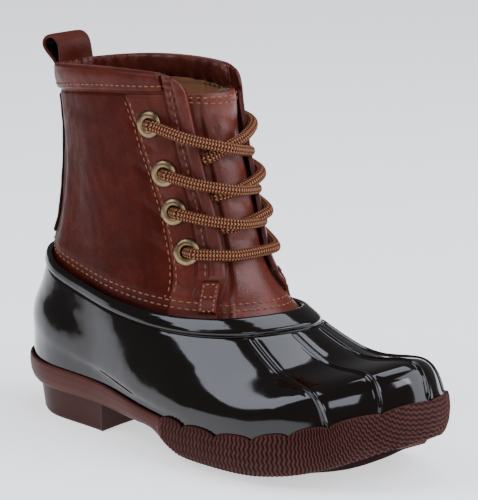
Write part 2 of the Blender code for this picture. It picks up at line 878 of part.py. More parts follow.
def cord(name, controls):
    """A round cord through stations of turn, level and offset."""
    count = 14
    last = len(controls) - 1
    spots = []
    for k in range(count + 1):
        place = k / count * last
        j = min(int(place), last - 1)
        four = [controls[int(clamp(j + d, 0, last))] for d in (-1, 0, 1, 2)]
        spots.append([spline(*[station[axis] for station in four], place - j) for axis in range(3)])
    made = bmesh.new()
    centres = [point(*spot) for spot in spots]
    sides = 8
    loops = []
    for k, centre in enumerate(centres):
        along = (centres[min(k + 1, count)] - centres[max(k - 1, 0)]).normalized()
        side = along.cross(outward(spots[k][0], spots[k][1])).normalized()
        up = side.cross(along)
        ring = []
        for j in range(sides):
            angle = 2 * pi * (j + 0.5) / sides
            ring.append(made.verts.new(centre + (side * cos(angle) + up * sin(angle)) * LACE_RADIUS))
        loops.append(ring)
    for first, second in zip(loops, loops[1:]):
        for j in range(sides):
            n = (j + 1) % sides
            made.faces.new([first[j], first[n], second[n], second[j]])
    made.faces.new(loops[0])
    made.faces.new(loops[-1])
    return finish(made, name, lace_cord)


def tongue_lift(turn, level):
    return tongue_offset(turn, level) + GAP + 0.25 * MM + LACE_RADIUS


low_turn, low_level, flat = EYELETS[3]
cord("lace_bar", [
    (low_turn, low_level, BAR_LIFT),
    (throat(low_level) - 0.015, low_level, EDGE_LIFT + 0.3 * MM),
    (0.46, low_level, EDGE_LIFT - 0.9 * MM),
    (0.53, low_level, EDGE_LIFT - 0.9 * MM),
    (far_edge(low_level) + 0.015, low_level, EDGE_LIFT + 0.3 * MM),
    (1.0 - low_turn - THROAT_LEAN, low_level, BAR_LIFT),
])
for k, (turn, level, drop) in enumerate(EYELETS[:3]):
    low = level - drop
    middle = level - 0.66 * drop
    near_turn = throat(low) + 0.013
    far_turn = far_edge(low) - 0.013
    under_lift = tongue_lift(0.47, middle)
    over = cord(f"lace_cross_{k + 1}", [
        (turn, level, BAR_LIFT),
        (throat(level) - 0.02, level - 0.33 * drop, EDGE_LIFT + 0.7 * MM),
        (0.468, middle, under_lift + 1.85 * LACE_RADIUS),
        (far_turn, low, tongue_lift(far_turn, low) + 0.2 * MM),
    ])
    below = cord("under_cord", [
        (1.0 - turn - THROAT_LEAN, level, BAR_LIFT),
        (far_edge(level) + 0.012, level - 0.02, EDGE_LIFT + 0.4 * MM),
        (0.53, level - 0.33 * drop, 0.5 * (EDGE_LIFT + under_lift)),
        (0.468, middle, under_lift),
        (near_turn, low, tongue_lift(near_turn, low) + 0.2 * MM),
    ])
    combine(over, below, "UNION")
    settle(over)


# Pull loop: a leather band standing up from the back of the collar, its legs bent round the wall
LOOP_WIDTH = 16.0 * MM
LOOP_RISE = 12.5 * MM
LOOP_OPEN = 11.0 * MM
LEG_BOW = (point(0.061, 7.9) - point(0.0, 7.9)).x
loop_centre_y = point(0.0, 7.9).y
back_top = point(0.0, 8.0)
LEG_OUT = CUFF_STEP + GAP + 0.5 * STRAP_THICK + 0.35 * MM
LEG_IN = -LEATHER_WALL - GAP - 0.5 * STRAP_THICK - 0.45 * MM
LEG_LEVELS = [7.50, 7.75, 7.99]


def leg_spot(level, offset):
    spot = point(0.0, level, offset)
    return (spot.x, spot.z, 1.0)


# Path of the band: x, height, share of the bow
loop_path = [leg_spot(level, LEG_OUT) for level in LEG_LEVELS]
inner_path = [leg_spot(level, LEG_IN) for level in reversed(LEG_LEVELS)]
outer_x = loop_path[-1][0]
inner_x = inner_path[0][0]
loop_middle = 0.5 * (inner_x + outer_x) - 1.2 * MM
for k in range(13):
    angle = pi * (1.0 - k / 12)
    loop_path.append((
        loop_middle + 0.5 * LOOP_OPEN * cos(angle),
        back_top.z + 0.55 * LOOP_RISE + 0.45 * LOOP_RISE * sin(angle),
        0.35 * (1.0 - sin(angle)),
    ))
loop_path += inner_path

loop = bmesh.new()
sections = []
for k, (x, z, bow) in enumerate(loop_path):
    a = loop_path[max(k - 1, 0)]
    b = loop_path[min(k + 1, len(loop_path) - 1)]
    out = Vector((-(b[1] - a[1]), 0.0, b[0] - a[0])).normalized() * 0.5 * STRAP_THICK
    ring = []
    for lift, order in ((-1, (-1.0, -0.5, 0.0, 0.5, 1.0)), (1, (1.0, 0.5, 0.0, -0.5, -1.0))):
        for across in order:
            spot = Vector((x + LEG_BOW * bow * across * across, loop_centre_y + 0.5 * LOOP_WIDTH * across, z))
            ring.append(loop.verts.new(spot + out * lift))
    sections.append(ring)
for first, second in zip(sections, sections[1:]):
    for k in range(10):
        j = (k + 1) % 10
        loop.faces.new([first[k], first[j], second[j], second[k]])
for end in (sections[0], sections[-1]):
    for k in range(4):
        loop.faces.new([end[k], end[k + 1], end[8 - k], end[9 - k]])
finish(loop, "pull_loop", loop_leather)


# Backstay: a strip down the back seam, bent round the heel
backstay = bmesh.new()
BACKSTAY_HALF = 0.044
BACKSTAY_LEVELS = [4.45, 4.8, 5.2, 5.6, 6.0, 6.5, 6.9, 7.2]
sheets = []
for lift in (GAP, GAP + 0.9 * MM):
    grid = []
    for level in BACKSTAY_LEVELS:
        line = []
        for k in range(7):
            turn = BACKSTAY_HALF * (k / 3 - 1.0)
            line.append((k / 6, backstay.verts.new(point(turn, level, lean_in(level) + lift))))
        grid.append(line)
    for first, second in zip(grid, grid[1:]):
        sew(backstay, first, second)
    sheets.append(grid)
sew(backstay, sheets[0][0], sheets[1][0])
sew(backstay, sheets[0][-1], sheets[1][-1])
for end in (0, -1):
    sew(
        backstay,
        [(k, line[end][1]) for k, line in enumerate(sheets[0])],
        [(k, line[end][1]) for k, line in enumerate(sheets[1])],
    )
finish(backstay, "backstay", dark_leather)
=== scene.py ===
import bpy
import bmesh
import math
import numpy as np
from mathutils import Matrix, Vector


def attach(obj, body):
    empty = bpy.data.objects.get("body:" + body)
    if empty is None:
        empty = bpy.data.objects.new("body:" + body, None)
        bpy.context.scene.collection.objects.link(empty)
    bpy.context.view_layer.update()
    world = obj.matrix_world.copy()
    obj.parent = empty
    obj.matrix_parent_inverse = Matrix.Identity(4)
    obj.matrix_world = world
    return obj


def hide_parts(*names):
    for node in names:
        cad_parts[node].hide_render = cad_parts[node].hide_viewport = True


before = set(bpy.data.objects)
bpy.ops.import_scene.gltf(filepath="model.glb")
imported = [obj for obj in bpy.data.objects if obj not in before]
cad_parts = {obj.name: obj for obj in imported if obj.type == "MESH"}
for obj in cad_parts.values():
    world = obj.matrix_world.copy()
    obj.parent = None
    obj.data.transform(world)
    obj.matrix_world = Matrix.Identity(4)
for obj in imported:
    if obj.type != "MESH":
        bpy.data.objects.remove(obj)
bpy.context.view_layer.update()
print("frame loaded")

mm = 0.001
pi = math.pi

# camera, set from the photograph: angles in degrees, distances in metres, the sensor in mm, the rest in pixels
view = {
    "azimuth": 43.0, "elevation": 13.6, "distance": 1.0172, "aim": (0.060, 0.0, 0.062),
    "focalPixels": 2888.0, "frameWide": 478.0, "frameHigh": 500.0, "centreX": 214.3, "centreY": 266.1,
    "sensor": 36.0, "nearest": 0.05, "farthest": 20.0,
}


def setRound(thing, azimuth, elevation, distance):   # stands off the boot and faces it
    a, e = math.radians(azimuth), math.radians(elevation)
    away = Vector((math.sin(a) * math.cos(e), -math.cos(a) * math.cos(e), math.sin(e)))
    thing.location = Vector(view["aim"]) + away * distance
    thing.rotation_mode = "QUATERNION"
    thing.rotation_quaternion = (-away).to_track_quat("-Z", "Y")
    bpy.context.scene.collection.objects.link(thing)


def makeCamera():
    lens = bpy.data.cameras.new("camera")
    camera = bpy.data.objects.new("camera", lens)
    setRound(camera, view["azimuth"], view["elevation"], view["distance"])
    lens.sensor_width = view["sensor"]
    lens.lens = view["focalPixels"] * view["sensor"] / view["frameHigh"]
    lens.shift_x = (0.5 * view["frameWide"] - view["centreX"]) / view["frameHigh"]
    lens.shift_y = (view["centreY"] - 0.5 * view["frameHigh"]) / view["frameHigh"]
    lens.clip_start = view["nearest"]
    lens.clip_end = view["farthest"]
    bpy.context.scene.camera = camera


makeCamera()
print("camera placed")

# the boot's form: courses from the sole to the collar, the same form as the solids
boot = {
    "length": 180.0 * mm,
    "ballWidth": 72.6 * mm,
    "collarHeight": 127.3 * mm,
    "heelCentre": 25.0 * mm,
    "ovalSquare": 0.91,
}
outlineTable = np.array([  # share of the length, share of the ball width
    (0.000, 0.000), (0.022, -0.181), (0.116, -0.326), (0.290, -0.378),
    (0.440, -0.462), (0.605, -0.510), (0.758, -0.484), (0.898, -0.322),
    (1.000, 0.075), (0.940, 0.360), (0.790, 0.478), (0.619, 0.438),
    (0.450, 0.365), (0.280, 0.360), (0.120, 0.340), (0.030, 0.190),
])
courseTable = np.array([  # back x, front x, back z, side z, front z, width, middle y, oval share, sole line share
    (0.010, 0.990, -0.050, -0.050, -0.050, 0.957, 0.000, 0.00, 1.00),
    (0.010, 0.990, 0.055, 0.006, 0.000, 0.957, 0.000, 0.00, 1.00),
    (0.014, 0.944, 0.208, 0.100, 0.197, 0.945, -0.008, 0.05, 0.60),
    (0.035, 0.808, 0.348, 0.255, 0.285, 0.819, -0.011, 0.20, 0.20),
    (0.053, 0.662, 0.473, 0.394, 0.404, 0.695, -0.006, 0.45, 0.00),
    (0.079, 0.587, 0.579, 0.535, 0.509, 0.610, -0.002, 0.70, 0.00),
    (0.088, 0.551, 0.738, 0.725, 0.698, 0.556, 0.005, 0.90, 0.00),
    (0.081, 0.521, 0.887, 0.902, 0.888, 0.546, 0.006, 1.00, 0.00),
    (0.063, 0.510, 0.998, 1.031, 1.025, 0.540, 0.007, 1.00, 0.00),
])
soleLineTable = np.array([  # share of the length, height in mm
    (0.00, 20.0), (0.30, 19.0), (0.55, 15.2), (0.75, 16.6), (1.00, 30.8),
])
throatTable = np.array([  # level, turn of the near facing's edge
    (3.40, 0.386), (3.95, 0.397), (4.30, 0.414), (4.80, 0.433), (5.20, 0.4375), (5.60, 0.431),
    (6.10, 0.4165), (6.50, 0.408), (7.00, 0.400), (7.50, 0.392), (8.00, 0.384),
])
throatLean = 0.010
# turn and level of each near eyelet from the top, and how many levels the lace drops on its way across
eyeletTable = [(0.314, 6.95, 0.40), (0.332, 6.25, 0.21), (0.347, 5.74, 0.13), (0.371, 5.225, 0.0)]


def clamp(value, low=0.0, high=1.0):
    return np.minimum(np.maximum(value, low), high)


def ease(value):
    q = clamp(value)
    return q * q * (3.0 - 2.0 * q)


def mix(a, b, share):
    return a + (b - a) * share


def bell(distance, width):
    return np.exp(-(distance / width) ** 2)


def splineRow(before, first, second, after, f):
    return 0.5 * (2 * first + (second - before) * f + (2 * before - 5 * first + 4 * second - after) * f * f
                  + (3 * first - before - 3 * second + after) * f * f * f)


def withEnds(points):   # one more point past each end, so that the curve reaches the first and the last
    return np.vstack([2 * points[0] - points[1], points, 2 * points[-1] - points[-2]])


def onSpline(points, place):   # place is counted from the second of the points
    k = np.minimum(np.floor(place).astype(int), len(points) - 4)
    return splineRow(points[k], points[k + 1], points[k + 2], points[k + 3], (place - k)[:, None])


def through(table, where):
    xs, ys = table[:, 0], table[:, 1]
    last = len(xs) - 1
    where = clamp(np.asarray(where, float), xs[0], xs[last])
    k = np.clip(np.searchsorted(xs, where, side="left") - 1, 0, last - 1)
    before, after = np.maximum(k - 1, 0), np.minimum(k + 2, last)
    span = xs[k + 1] - xs[k]
    slopeA = (ys[k + 1] - ys[before]) / (xs[k + 1] - xs[before])
    slopeB = (ys[after] - ys[k]) / (xs[after] - xs[k])
    f = (where - xs[k]) / span
    return (ys[k] * (1 + 2 * f) * (1 - f) ** 2 + slopeA * span * f * (1 - f) ** 2
            + ys[k + 1] * f * f * (3 - 2 * f) + slopeB * span * f * f * (f - 1))


def aroundOutline(turn):
    count = len(outlineTable)
    place = np.mod(turn, 1.0) * count
    k = np.floor(place).astype(int)
    f = (place - k)[..., None]
    four = [outlineTable[(k + j) % count] for j in (-1, 0, 1, 2)]
    return splineRow(*four, f)


def aroundOval(turn):
    c, s = np.cos(2 * pi * turn), np.sin(2 * pi * turn)
    power = 0.5 * (boot["ovalSquare"] - 1.0)   # a little squarer than an ellipse, eased at its four ends
    c, s = c * (c * c + 0.004) ** power, s * (s * s + 0.004) ** power
    return np.stack([0.5 - 0.5 * c, -0.5 * s], -1)


def soleLine(share):
    return through(soleLineTable, share) * mm


def formAt(turn, level):
    turn, level = np.broadcast_arrays(np.asarray(turn, float), np.asarray(level, float))
    last = len(courseTable) - 1
    level = clamp(level, 0.0, last)
    k = np.minimum(np.floor(level).astype(int), last - 1)
    four = [courseTable[np.clip(k + j, 0, last)] for j in (-1, 0, 1, 2)]
    course = splineRow(*four, (level - k)[..., None])
    back, front, backZ, sideZ, frontZ, width, middle, blend, follow = [course[..., j] for j in range(9)]
    q = mix(aroundOutline(turn), aroundOval(turn), blend[..., None])
    qx = q[..., 0]
    x = back + (front - back) * qx
    y = q[..., 1] * width + middle
    z = backZ * 2 * (qx - 0.5) * (qx - 1) + sideZ * 4 * qx * (1 - qx) + frontZ * 2 * qx * (qx - 0.5)
    return np.stack([x * boot["length"] - boot["heelCentre"], y * boot["ballWidth"],
                     z * boot["collarHeight"] + follow * soleLine(x)], -1)


def unit(vectors):
    return vectors / np.maximum(np.linalg.norm(vectors, axis=-1, keepdims=True), 1e-12)


def outwardAt(turn, level):
    around = formAt(turn + 0.004, level) - formAt(turn - 0.004, level)
    up = formAt(turn, level + 0.03) - formAt(turn, level - 0.03)
    return unit(np.cross(around, up))


def pointAt(turn, level, offset=0.0):
    turn, level, offset = np.broadcast_arrays(*[np.asarray(a, float) for a in (turn, level, offset)])
    return formAt(turn, level) + outwardAt(turn, level) * offset[..., None]


def throat(level):
    return through(throatTable, level)


def farEdge(level):
    return 1.0 - throat(level) - throatLean


def shareOf(x):
    return clamp((x + boot["heelCentre"]) / boot["length"])


# building helpers
def gridSheet(columns, rows, place, shade=None):
    mesh = bmesh.new()
    mesh.loops.layers.uv.new("flow")
    depth = mesh.verts.layers.float.new("shade") if shade else None
    bmesh.ops.create_grid(mesh, x_segments=columns, y_segments=rows, size=0.5, calc_uvs=True)
    corners = np.array([vert.co for vert in mesh.verts]) + 0.5
    for vert, spot in zip(mesh.verts, place(corners[:, 0], corners[:, 1])):
        vert.co = spot
    if shade:
        for vert, value in zip(mesh.verts, shade(corners[:, 0], corners[:, 1])):
            vert[depth] = value
    return mesh


def putOut(name, mesh, materials):
    for face in mesh.faces:
        face.smooth = True
    data = bpy.data.meshes.new(name)
    mesh.to_mesh(data)
    mesh.free()
    for material in materials:
        data.materials.append(material)
    piece = bpy.data.objects.new(name, data)
    bpy.context.scene.collection.objects.link(piece)
    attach(piece, "root")
    return piece


def makePiece(name, mesh, materials, weld=0.0, awayFrom=None):
    if weld:
        bmesh.ops.remove_doubles(mesh, verts=mesh.verts[:], dist=weld)
    if awayFrom is None:
        bmesh.ops.recalc_face_normals(mesh, faces=mesh.faces[:])
    else:   # an open sheet faces away from this point
        mesh.normal_update()
        centre = Vector(awayFrom)
        if sum(f.calc_area() * f.normal.dot(f.calc_center_median() - centre) for f in mesh.faces) < 0:
            bmesh.ops.reverse_faces(mesh, faces=mesh.faces[:])
    return putOut(name, mesh, materials)


def thicken(piece, amount, innerSlot=0):
    skin = piece.modifiers.new("thickness", "SOLIDIFY")
    skin.thickness = amount
    skin.offset = -1.0
    skin.use_even_offset = False
    skin.material_offset = innerSlot


def denseTurns(count, spots, gain=5.0, width=0.006, low=0.0, high=1.0):
    fine = np.linspace(low, high, 20001)
    density = np.ones_like(fine)
    for spot in spots:
        density += gain * bell(fine - spot, width)
    total = np.concatenate([[0.0], np.cumsum(0.5 * (density[1:] + density[:-1]))])
    return np.interp(np.linspace(0.0, total[-1], count), total, fine)


# shader helpers
class Wire:
    def __init__(self, look, socket):
        self.look = look
        self.socket = socket

    def maths(self, kind, first, second):
        return self.look.node("ShaderNodeMath", {"operation": kind}, {0: first, 1: second})

    def __add__(self, other):
        return self.maths("ADD", self, other)

    def __radd__(self, other):
        return self.maths("ADD", other, self)

    def __sub__(self, other):
        return self.maths("SUBTRACT", self, other)

    def __rsub__(self, other):
        return self.maths("SUBTRACT", other, self)

    def __mul__(self, other):
        return self.maths("MULTIPLY", self, other)

    def __rmul__(self, other):
        return self.maths("MULTIPLY", other, self)

    def __pow__(self, other):
        return self.maths("POWER", self, other)

    def alone(self, kind):
        return self.look.node("ShaderNodeMath", {"operation": kind}, {0: self})

    def saw(self):
        return self.alone("FRACT")

    def absolute(self):
        return self.alone("ABSOLUTE")

    def clamped(self, low, high):
        settings = {"clamp": True}
        return self.look.node("ShaderNodeMapRange", settings, {0: self, 1: low, 2: high, 3: 0.0, 4: 1.0})


class Look:
    def __init__(self, name):
        self.material = bpy.data.materials.new(name)
        self.material.use_nodes = True
        self.tree = self.material.node_tree
        self.shader = self.tree.nodes["Principled BSDF"]

    def node(self, kind, settings=None, values=None, out=0):
        made = self.tree.nodes.new(kind)
        for key, value in (settings or {}).items():
            setattr(made, key, value)
        for key, value in (values or {}).items():
            if isinstance(value, Wire):
                self.tree.links.new(value.socket, made.inputs[key])
            else:
                made.inputs[key].default_value = value
        return Wire(self, made.outputs[out])

    def feed(self, **sockets):
        for key, value in sockets.items():
            name = {"colour": "Base Color", "roughness": "Roughness", "metallic": "Metallic", "coat": "Coat Weight",
                    "coatRoughness": "Coat Roughness", "normal": "Normal", "specular": "Specular IOR Level",
                    "sheen": "Sheen Weight", "glow": "Emission Color", "glowStrength": "Emission Strength"}[key]
            if isinstance(value, Wire):
                self.tree.links.new(value.socket, self.shader.inputs[name])
            elif isinstance(value, tuple):
                self.shader.inputs[name].default_value = (*value, 1.0)
            else:
                self.shader.inputs[name].default_value = value
        return self

    def place(self):
        return self.node("ShaderNodeTexCoord", out="Object")

    def flow(self):
        return self.node("ShaderNodeUVMap", {"uv_map": "flow"})

    def shade(self):
        return self.node("ShaderNodeAttribute", {"attribute_name": "shade"}, out=2)

    def noise(self, scale, detail=3.0, vector=None, roughness=0.5):
        return self.node("ShaderNodeTexNoise", None, {
            "Vector": vector or self.place(), "Scale": scale, "Detail": detail, "Roughness": roughness})

    def cells(self, scale, vector=None):
        values = {"Vector": vector or self.place(), "Scale": scale}
        return self.node("ShaderNodeTexVoronoi", {"feature": "F1"}, values)

    def blend(self, factor, first, second):
        values = {0: factor, 6: first if isinstance(first, Wire) else (*first, 1.0),
                  7: second if isinstance(second, Wire) else (*second, 1.0)}
        return self.node("ShaderNodeMix", {"data_type": "RGBA"}, values, out=2)

    def bump(self, height, strength, distance):
        return self.node("ShaderNodeBump", None, {"Strength": strength, "Distance": distance, "Height": height})


def leatherLook(name, base, deep, light, roughness=0.42, specular=0.15, grain=0.35):
    look = Look(name)
    cloud = look.noise(28.0, 4.0).clamped(0.32, 0.70)
    fine = look.noise(420.0, 3.0)
    pores = look.cells(1150.0)
    patches = look.noise(95.0, 3.0).clamped(0.45, 0.75)
    colour = look.blend(cloud, deep, base)
    colour = look.blend(patches * 0.55, colour, light)
    colour = look.blend((fine - 0.5) * 0.5 + 0.1, colour, deep)
    veins = look.node("ShaderNodeTexVoronoi", {"feature": "DISTANCE_TO_EDGE"}, {
        "Vector": look.place(), "Scale": 400.0}).clamped(0.0, 0.10)
    wrinkle = (look.noise(170.0, 5.0, roughness=0.72) - 0.5).absolute().clamped(0.0, 0.035)
    colour = look.blend((1.0 - wrinkle) * patches * 0.9, colour, light)
    colour = look.blend((1.0 - veins) * 0.22, colour, deep)
    height = pores * 0.5 + fine * 0.5 + veins * 0.45 + wrinkle * 0.5
    look.feed(
        colour=colour,
        roughness=fine * 0.16 + cloud * 0.06 + (roughness - 0.11),
        normal=look.bump(height, grain, 0.12 * mm),
        specular=specular,
    )
    return look.material


def rubberLook(name, base, light, roughness, specular=0.12, paintedGrooveShade=None):
    look = Look(name)
    cloud = look.noise(60.0, 4.0).clamped(0.35, 0.7)
    dust = look.noise(900.0, 2.0)
    colour = look.blend(cloud, base, light)
    if paintedGrooveShade:
        # the rib grooves get a darker colour: painted shade
        colour = look.blend(look.shade().clamped(0.15, 0.75), paintedGrooveShade, colour)
    look.feed(
        colour=colour,
        roughness=dust * 0.12 + (roughness - 0.06),
        normal=look.bump(dust, 0.12, 0.06 * mm),
        specular=specular,
    )
    return look.material


def shellLook(name):
    look = Look(name)
    cloud = look.noise(55.0, 2.0)
    speck = look.noise(700.0, 2.0).clamped(0.62, 0.8)
    smear = look.noise(45.0, 3.0).clamped(0.4, 0.8)
    look.feed(
        colour=look.blend(speck * 0.2, (0.0045, 0.0024, 0.0021), (0.012, 0.007, 0.006)),
        roughness=smear * 0.07 + 0.07,
        normal=look.bump(cloud, 0.5, 0.9 * mm),
        coat=0.06, coatRoughness=0.04, specular=0.42,
    )
    return look.material


def threadLook(name, base, dark):
    look = Look(name)
    strand = look.noise(2600.0, 2.0)
    look.feed(
        colour=look.blend(strand.clamped(0.35, 0.7), dark, base),
        roughness=0.7,
        normal=look.bump(strand, 0.5, 0.1 * mm), specular=0.15,
    )
    return look.material


def metalLook(name):
    look = Look(name)
    stain = look.noise(320.0, 4.0).clamped(0.35, 0.7)
    look.feed(
        colour=look.blend(stain, (0.150, 0.100, 0.052), (0.290, 0.205, 0.110)),
        metallic=1.0,
        roughness=stain * 0.12 + 0.30,
        normal=look.bump(look.noise(1500.0, 2.0), 0.15, 0.05 * mm),
    )
    return look.material


def laceLook(name):
    look = Look(name)
    around = look.node("ShaderNodeSeparateXYZ", None, {0: look.flow()}, out=0)
    along = look.node("ShaderNodeSeparateXYZ", None, {0: look.flow()}, out=1)   # one unit for each braid pitch
    ring = around * 8.0
    rib = ((ring.saw() - 0.5).absolute() * 2.0) ** 2.0
    zigzag = ((ring.saw() - 0.5).absolute() * 0.9 + along).saw()
    stripe = ((zigzag - 0.5).absolute() * 2.0).clamped(0.48, 0.68)
    tooth = ((along * 2.0 + (ring.saw() - 0.5).absolute() * 1.8).saw() - 0.5).absolute() * 2.0
    fuzz = look.noise(3000.0, 2.0)
    colour = look.blend(stripe, (0.026, 0.0070, 0.0048), (0.46, 0.178, 0.072))
    colour = look.blend(fuzz * 0.30, colour, (0.08, 0.026, 0.014))
    # darkest in the grooves between the braid's strands: painted shade
    colour = look.blend(rib, colour, (0.016, 0.005, 0.004))
    height = (1.0 - rib) * 0.5 + tooth * 0.4 + fuzz * 0.2
    look.feed(colour=colour, roughness=0.78, normal=look.bump(height, 0.8, 0.30 * mm), specular=0.12)
    return look.material


def liningLook(name, base, light):
    look = Look(name)
    weave = look.noise(1600.0, 2.0)
    cloud = look.noise(70.0, 3.0).clamped(0.35, 0.7)
    look.feed(
        colour=look.blend(cloud, base, light),
        roughness=0.9,
        normal=look.bump(weave, 0.5, 0.2 * mm),
        sheen=0.3,
    )
    return look.material


quarterLeather = leatherLook("quarterLeather",
    (0.054, 0.0054, 0.0018), (0.035, 0.0034, 0.0012), (0.082, 0.0112, 0.0050), 0.44, 0.07)
stayLeather = leatherLook("stayLeather",
    (0.086, 0.0125, 0.0060), (0.056, 0.0075, 0.0036), (0.125, 0.024, 0.0140), 0.38)
stripLeather = leatherLook("stripLeather",
    (0.090, 0.0140, 0.0070), (0.060, 0.0085, 0.0044), (0.130, 0.026, 0.0155), 0.34, 0.25)
cuffLeather = leatherLook("cuffLeather",
    (0.076, 0.0105, 0.0048), (0.050, 0.0064, 0.0030), (0.112, 0.020, 0.0110), 0.36, 0.14)
tongueLeather = leatherLook("tongueLeather",
    (0.120, 0.0230, 0.0125), (0.080, 0.0145, 0.0080), (0.175, 0.042, 0.026), 0.32, 0.30)
loopLeather = leatherLook("loopLeather",
    (0.072, 0.0120, 0.0062), (0.048, 0.0075, 0.0040), (0.105, 0.022, 0.0135), 0.40, 0.12)
darkLeather = leatherLook("darkLeather",
    (0.010, 0.004, 0.0032), (0.005, 0.002, 0.0018), (0.020, 0.010, 0.008), 0.5, 0.08)
collarLeather = leatherLook("collarLeather",
    (0.090, 0.0145, 0.0080), (0.054, 0.0080, 0.0045), (0.135, 0.030, 0.018), 0.38, 0.25)
tanLining = liningLook("tanLining", (0.175, 0.055, 0.0100), (0.240, 0.088, 0.020))
# near-black rubber for the sole's underside and the ball rest: painted shade
underShadeRubber = rubberLook("underShadeRubber", (0.010, 0.0034, 0.0028), (0.015, 0.0052, 0.0042), 0.85, 0.01)
soleRubber = rubberLook("soleRubber", (0.034, 0.0086, 0.0062), (0.046, 0.0130, 0.0098), 0.46)
# the rand rubber's last colour is painted shade in its rib grooves
randRubber = rubberLook("randRubber",
    (0.058, 0.0150, 0.0110), (0.074, 0.0225, 0.0170), 0.50, paintedGrooveShade=(0.014, 0.0035, 0.0028))
shellRubber = shellLook("shellRubber")
stitchThread = threadLook("stitchThread", (0.33, 0.135, 0.072), (0.17, 0.062, 0.030))
eyeletBrass = metalLook("eyeletBrass")
laceBraid = laceLook("laceBraid")
print("materials made")

# sole: rand with wavy ribs, smooth flange, cup and underside in one piece, and the heel block
sole = {
    "toeSpring": 14.5 * mm, "springStart": 0.69, "springPower": 1.15, "heelFloor": 12.6 * mm,
    "floorRise": 6.0 * mm, "floorRampStart": 0.60, "floorRamp": 0.15, "keelLift": 0.3 * mm,
    "heelTop": 10.0 * mm, "heelFront": 0.295, "ribPitch": 1.75 * mm, "ribDepth": 0.75 * mm,
    "waveLength": 3.0 * mm, "waveHeight": 0.42 * mm, "scallopRise": 2.2 * mm, "cupGap": 0.35 * mm,
    "heelCorners": (0.192, 0.806), "breast": (0.38, 0.62), "columns": 1500, "rows": 50, "weld": 0.002 * mm,
}
bands = {"floor": 0.12, "wall": 0.20, "rand": 0.86}   # where each band of the outsole ends, as a share of its rows
# turns of the scallops' meeting points along the rand's top edge
cusps = [0.2755, 0.300, 0.334, 0.3695, 0.4015, 0.4325, 0.4655, 0.500]
lowEdgeTable = np.array([  # share of the length, height of the sole's lower edge in mm
    (0.00, 10.0), (0.44, 10.0), (0.475, 9.3), (0.50, 7.2), (0.525, 4.6), (0.56, 2.9), (0.66, 2.4),
    (0.74, 2.6), (0.79, 3.6), (0.84, 5.4), (0.90, 8.6), (0.95, 12.4), (1.00, 16.0),
])


def spring(share):
    reach = clamp((share - sole["springStart"]) / (1.0 - sole["springStart"]))
    return sole["toeSpring"] * reach ** sole["springPower"]


def lowEdge(share):
    return through(lowEdgeTable, share) * mm


def keelHeight(share):
    belly = ease((share - 0.50) / 0.06) * (1.0 - ease((share - 0.75) / 0.20))
    return mix(lowEdge(share), sole["keelLift"], belly)


def floorHeight(share):
    ramp = ease((share - sole["floorRampStart"]) / sole["floorRamp"])
    return mix(sole["heelFloor"], sole["floorRise"] + spring(share), ramp)


def soleSpot(turn, inset):
    step = 0.0015
    here = aroundOutline(turn)
    along = (aroundOutline(turn + step) - aroundOutline(turn - step)) * [boot["length"], boot["ballWidth"]]
    along = unit(along)
    x = here[..., 0] * boot["length"] - along[..., 1] * inset
    y = here[..., 1] * boot["ballWidth"] + along[..., 0] * inset
    return x - boot["heelCentre"], y


def scallop(turn):
    side = np.minimum(turn, 1.0 - turn)
    rise = np.zeros_like(side)
    for a, b in zip(cusps, cusps[1:]):
        f = (side - a) / (b - a)
        depth = mix(1.0, 0.45, ease((side - 0.40) / 0.10))
        bump = sole["scallopRise"] * depth * (np.sqrt(clamp(1.0 - (2 * f - 1) ** 2)) - 0.45)
        rise = np.where((f >= 0) & (f <= 1), bump, rise)
    return rise


arcTurns = np.linspace(0.0, 1.0, 4001)
arcSteps = np.linalg.norm(np.diff(aroundOutline(arcTurns) * [boot["length"], boot["ballWidth"]], axis=0), axis=1)
ribAngles = (0.5 * pi) * (ease((arcTurns - 0.40) / 0.095) + ease((arcTurns - 0.505) / 0.095))
arcAcross = np.concatenate([[0.0], np.cumsum(arcSteps * np.cos(ribAngles[1:]))])
arcAlong = np.concatenate([[0.0], np.cumsum(arcSteps * np.sin(ribAngles[1:]))])


def ribDepthAt(turn, height):
    angle = np.interp(turn, arcTurns, ribAngles)   # the ribs lean over until they run level round the toe
    across = np.interp(turn, arcTurns, arcAcross) + height * np.sin(angle)
    along = height * np.cos(angle) - np.interp(turn, arcTurns, arcAlong)
    wave = np.arcsin(0.95 * np.sin(2 * pi * along / sole["waveLength"])) * 2.0 / pi
    phase = (across + sole["waveHeight"] * wave) / sole["ribPitch"]
    return 0.5 + 0.5 * np.cos(2 * pi * phase)


def randSpot(turn, down):
    share = shareOf(soleSpot(turn, 0.0)[0])
    top, low = soleLine(share) + scallop(turn), lowEdge(share)
    inset = np.interp(down, [0.0, 0.03, 0.10, 0.30, 0.60, 0.80, 0.93, 1.0],
                      [0.9, 0.35, 0.10, 0.0, 0.4, 1.2, 2.3, 3.8]) * mm
    height = top + (low - top) * np.interp(down, [0.0, 0.93, 1.0], [0.0, 0.985, 1.0])
    side = np.minimum(turn, 1.0 - turn)
    ribbed = ribbedFrom(turn) * ease(down / 0.06) * ease((1.0 - down) / 0.06)
    bulge = 0.5 * mm * ease((side - cusps[0] + 0.003) / 0.006) * np.sin(pi * down)
    x, y = soleSpot(turn, inset + sole["ribDepth"] * ribDepthAt(turn, height) ** 1.2 * ribbed - bulge)
    return np.stack([x, y, height], -1)


def cupSpot(turn, lip):
    spot = formAt(turn, 0.5)
    side = outwardAt(turn, 0.5)
    side[..., 2] = 0.0
    spot = spot + unit(side) * sole["cupGap"]
    share = shareOf(spot[..., 0])
    spot[..., 2] = mix(floorHeight(share), soleLine(share) + scallop(turn), lip)
    return spot


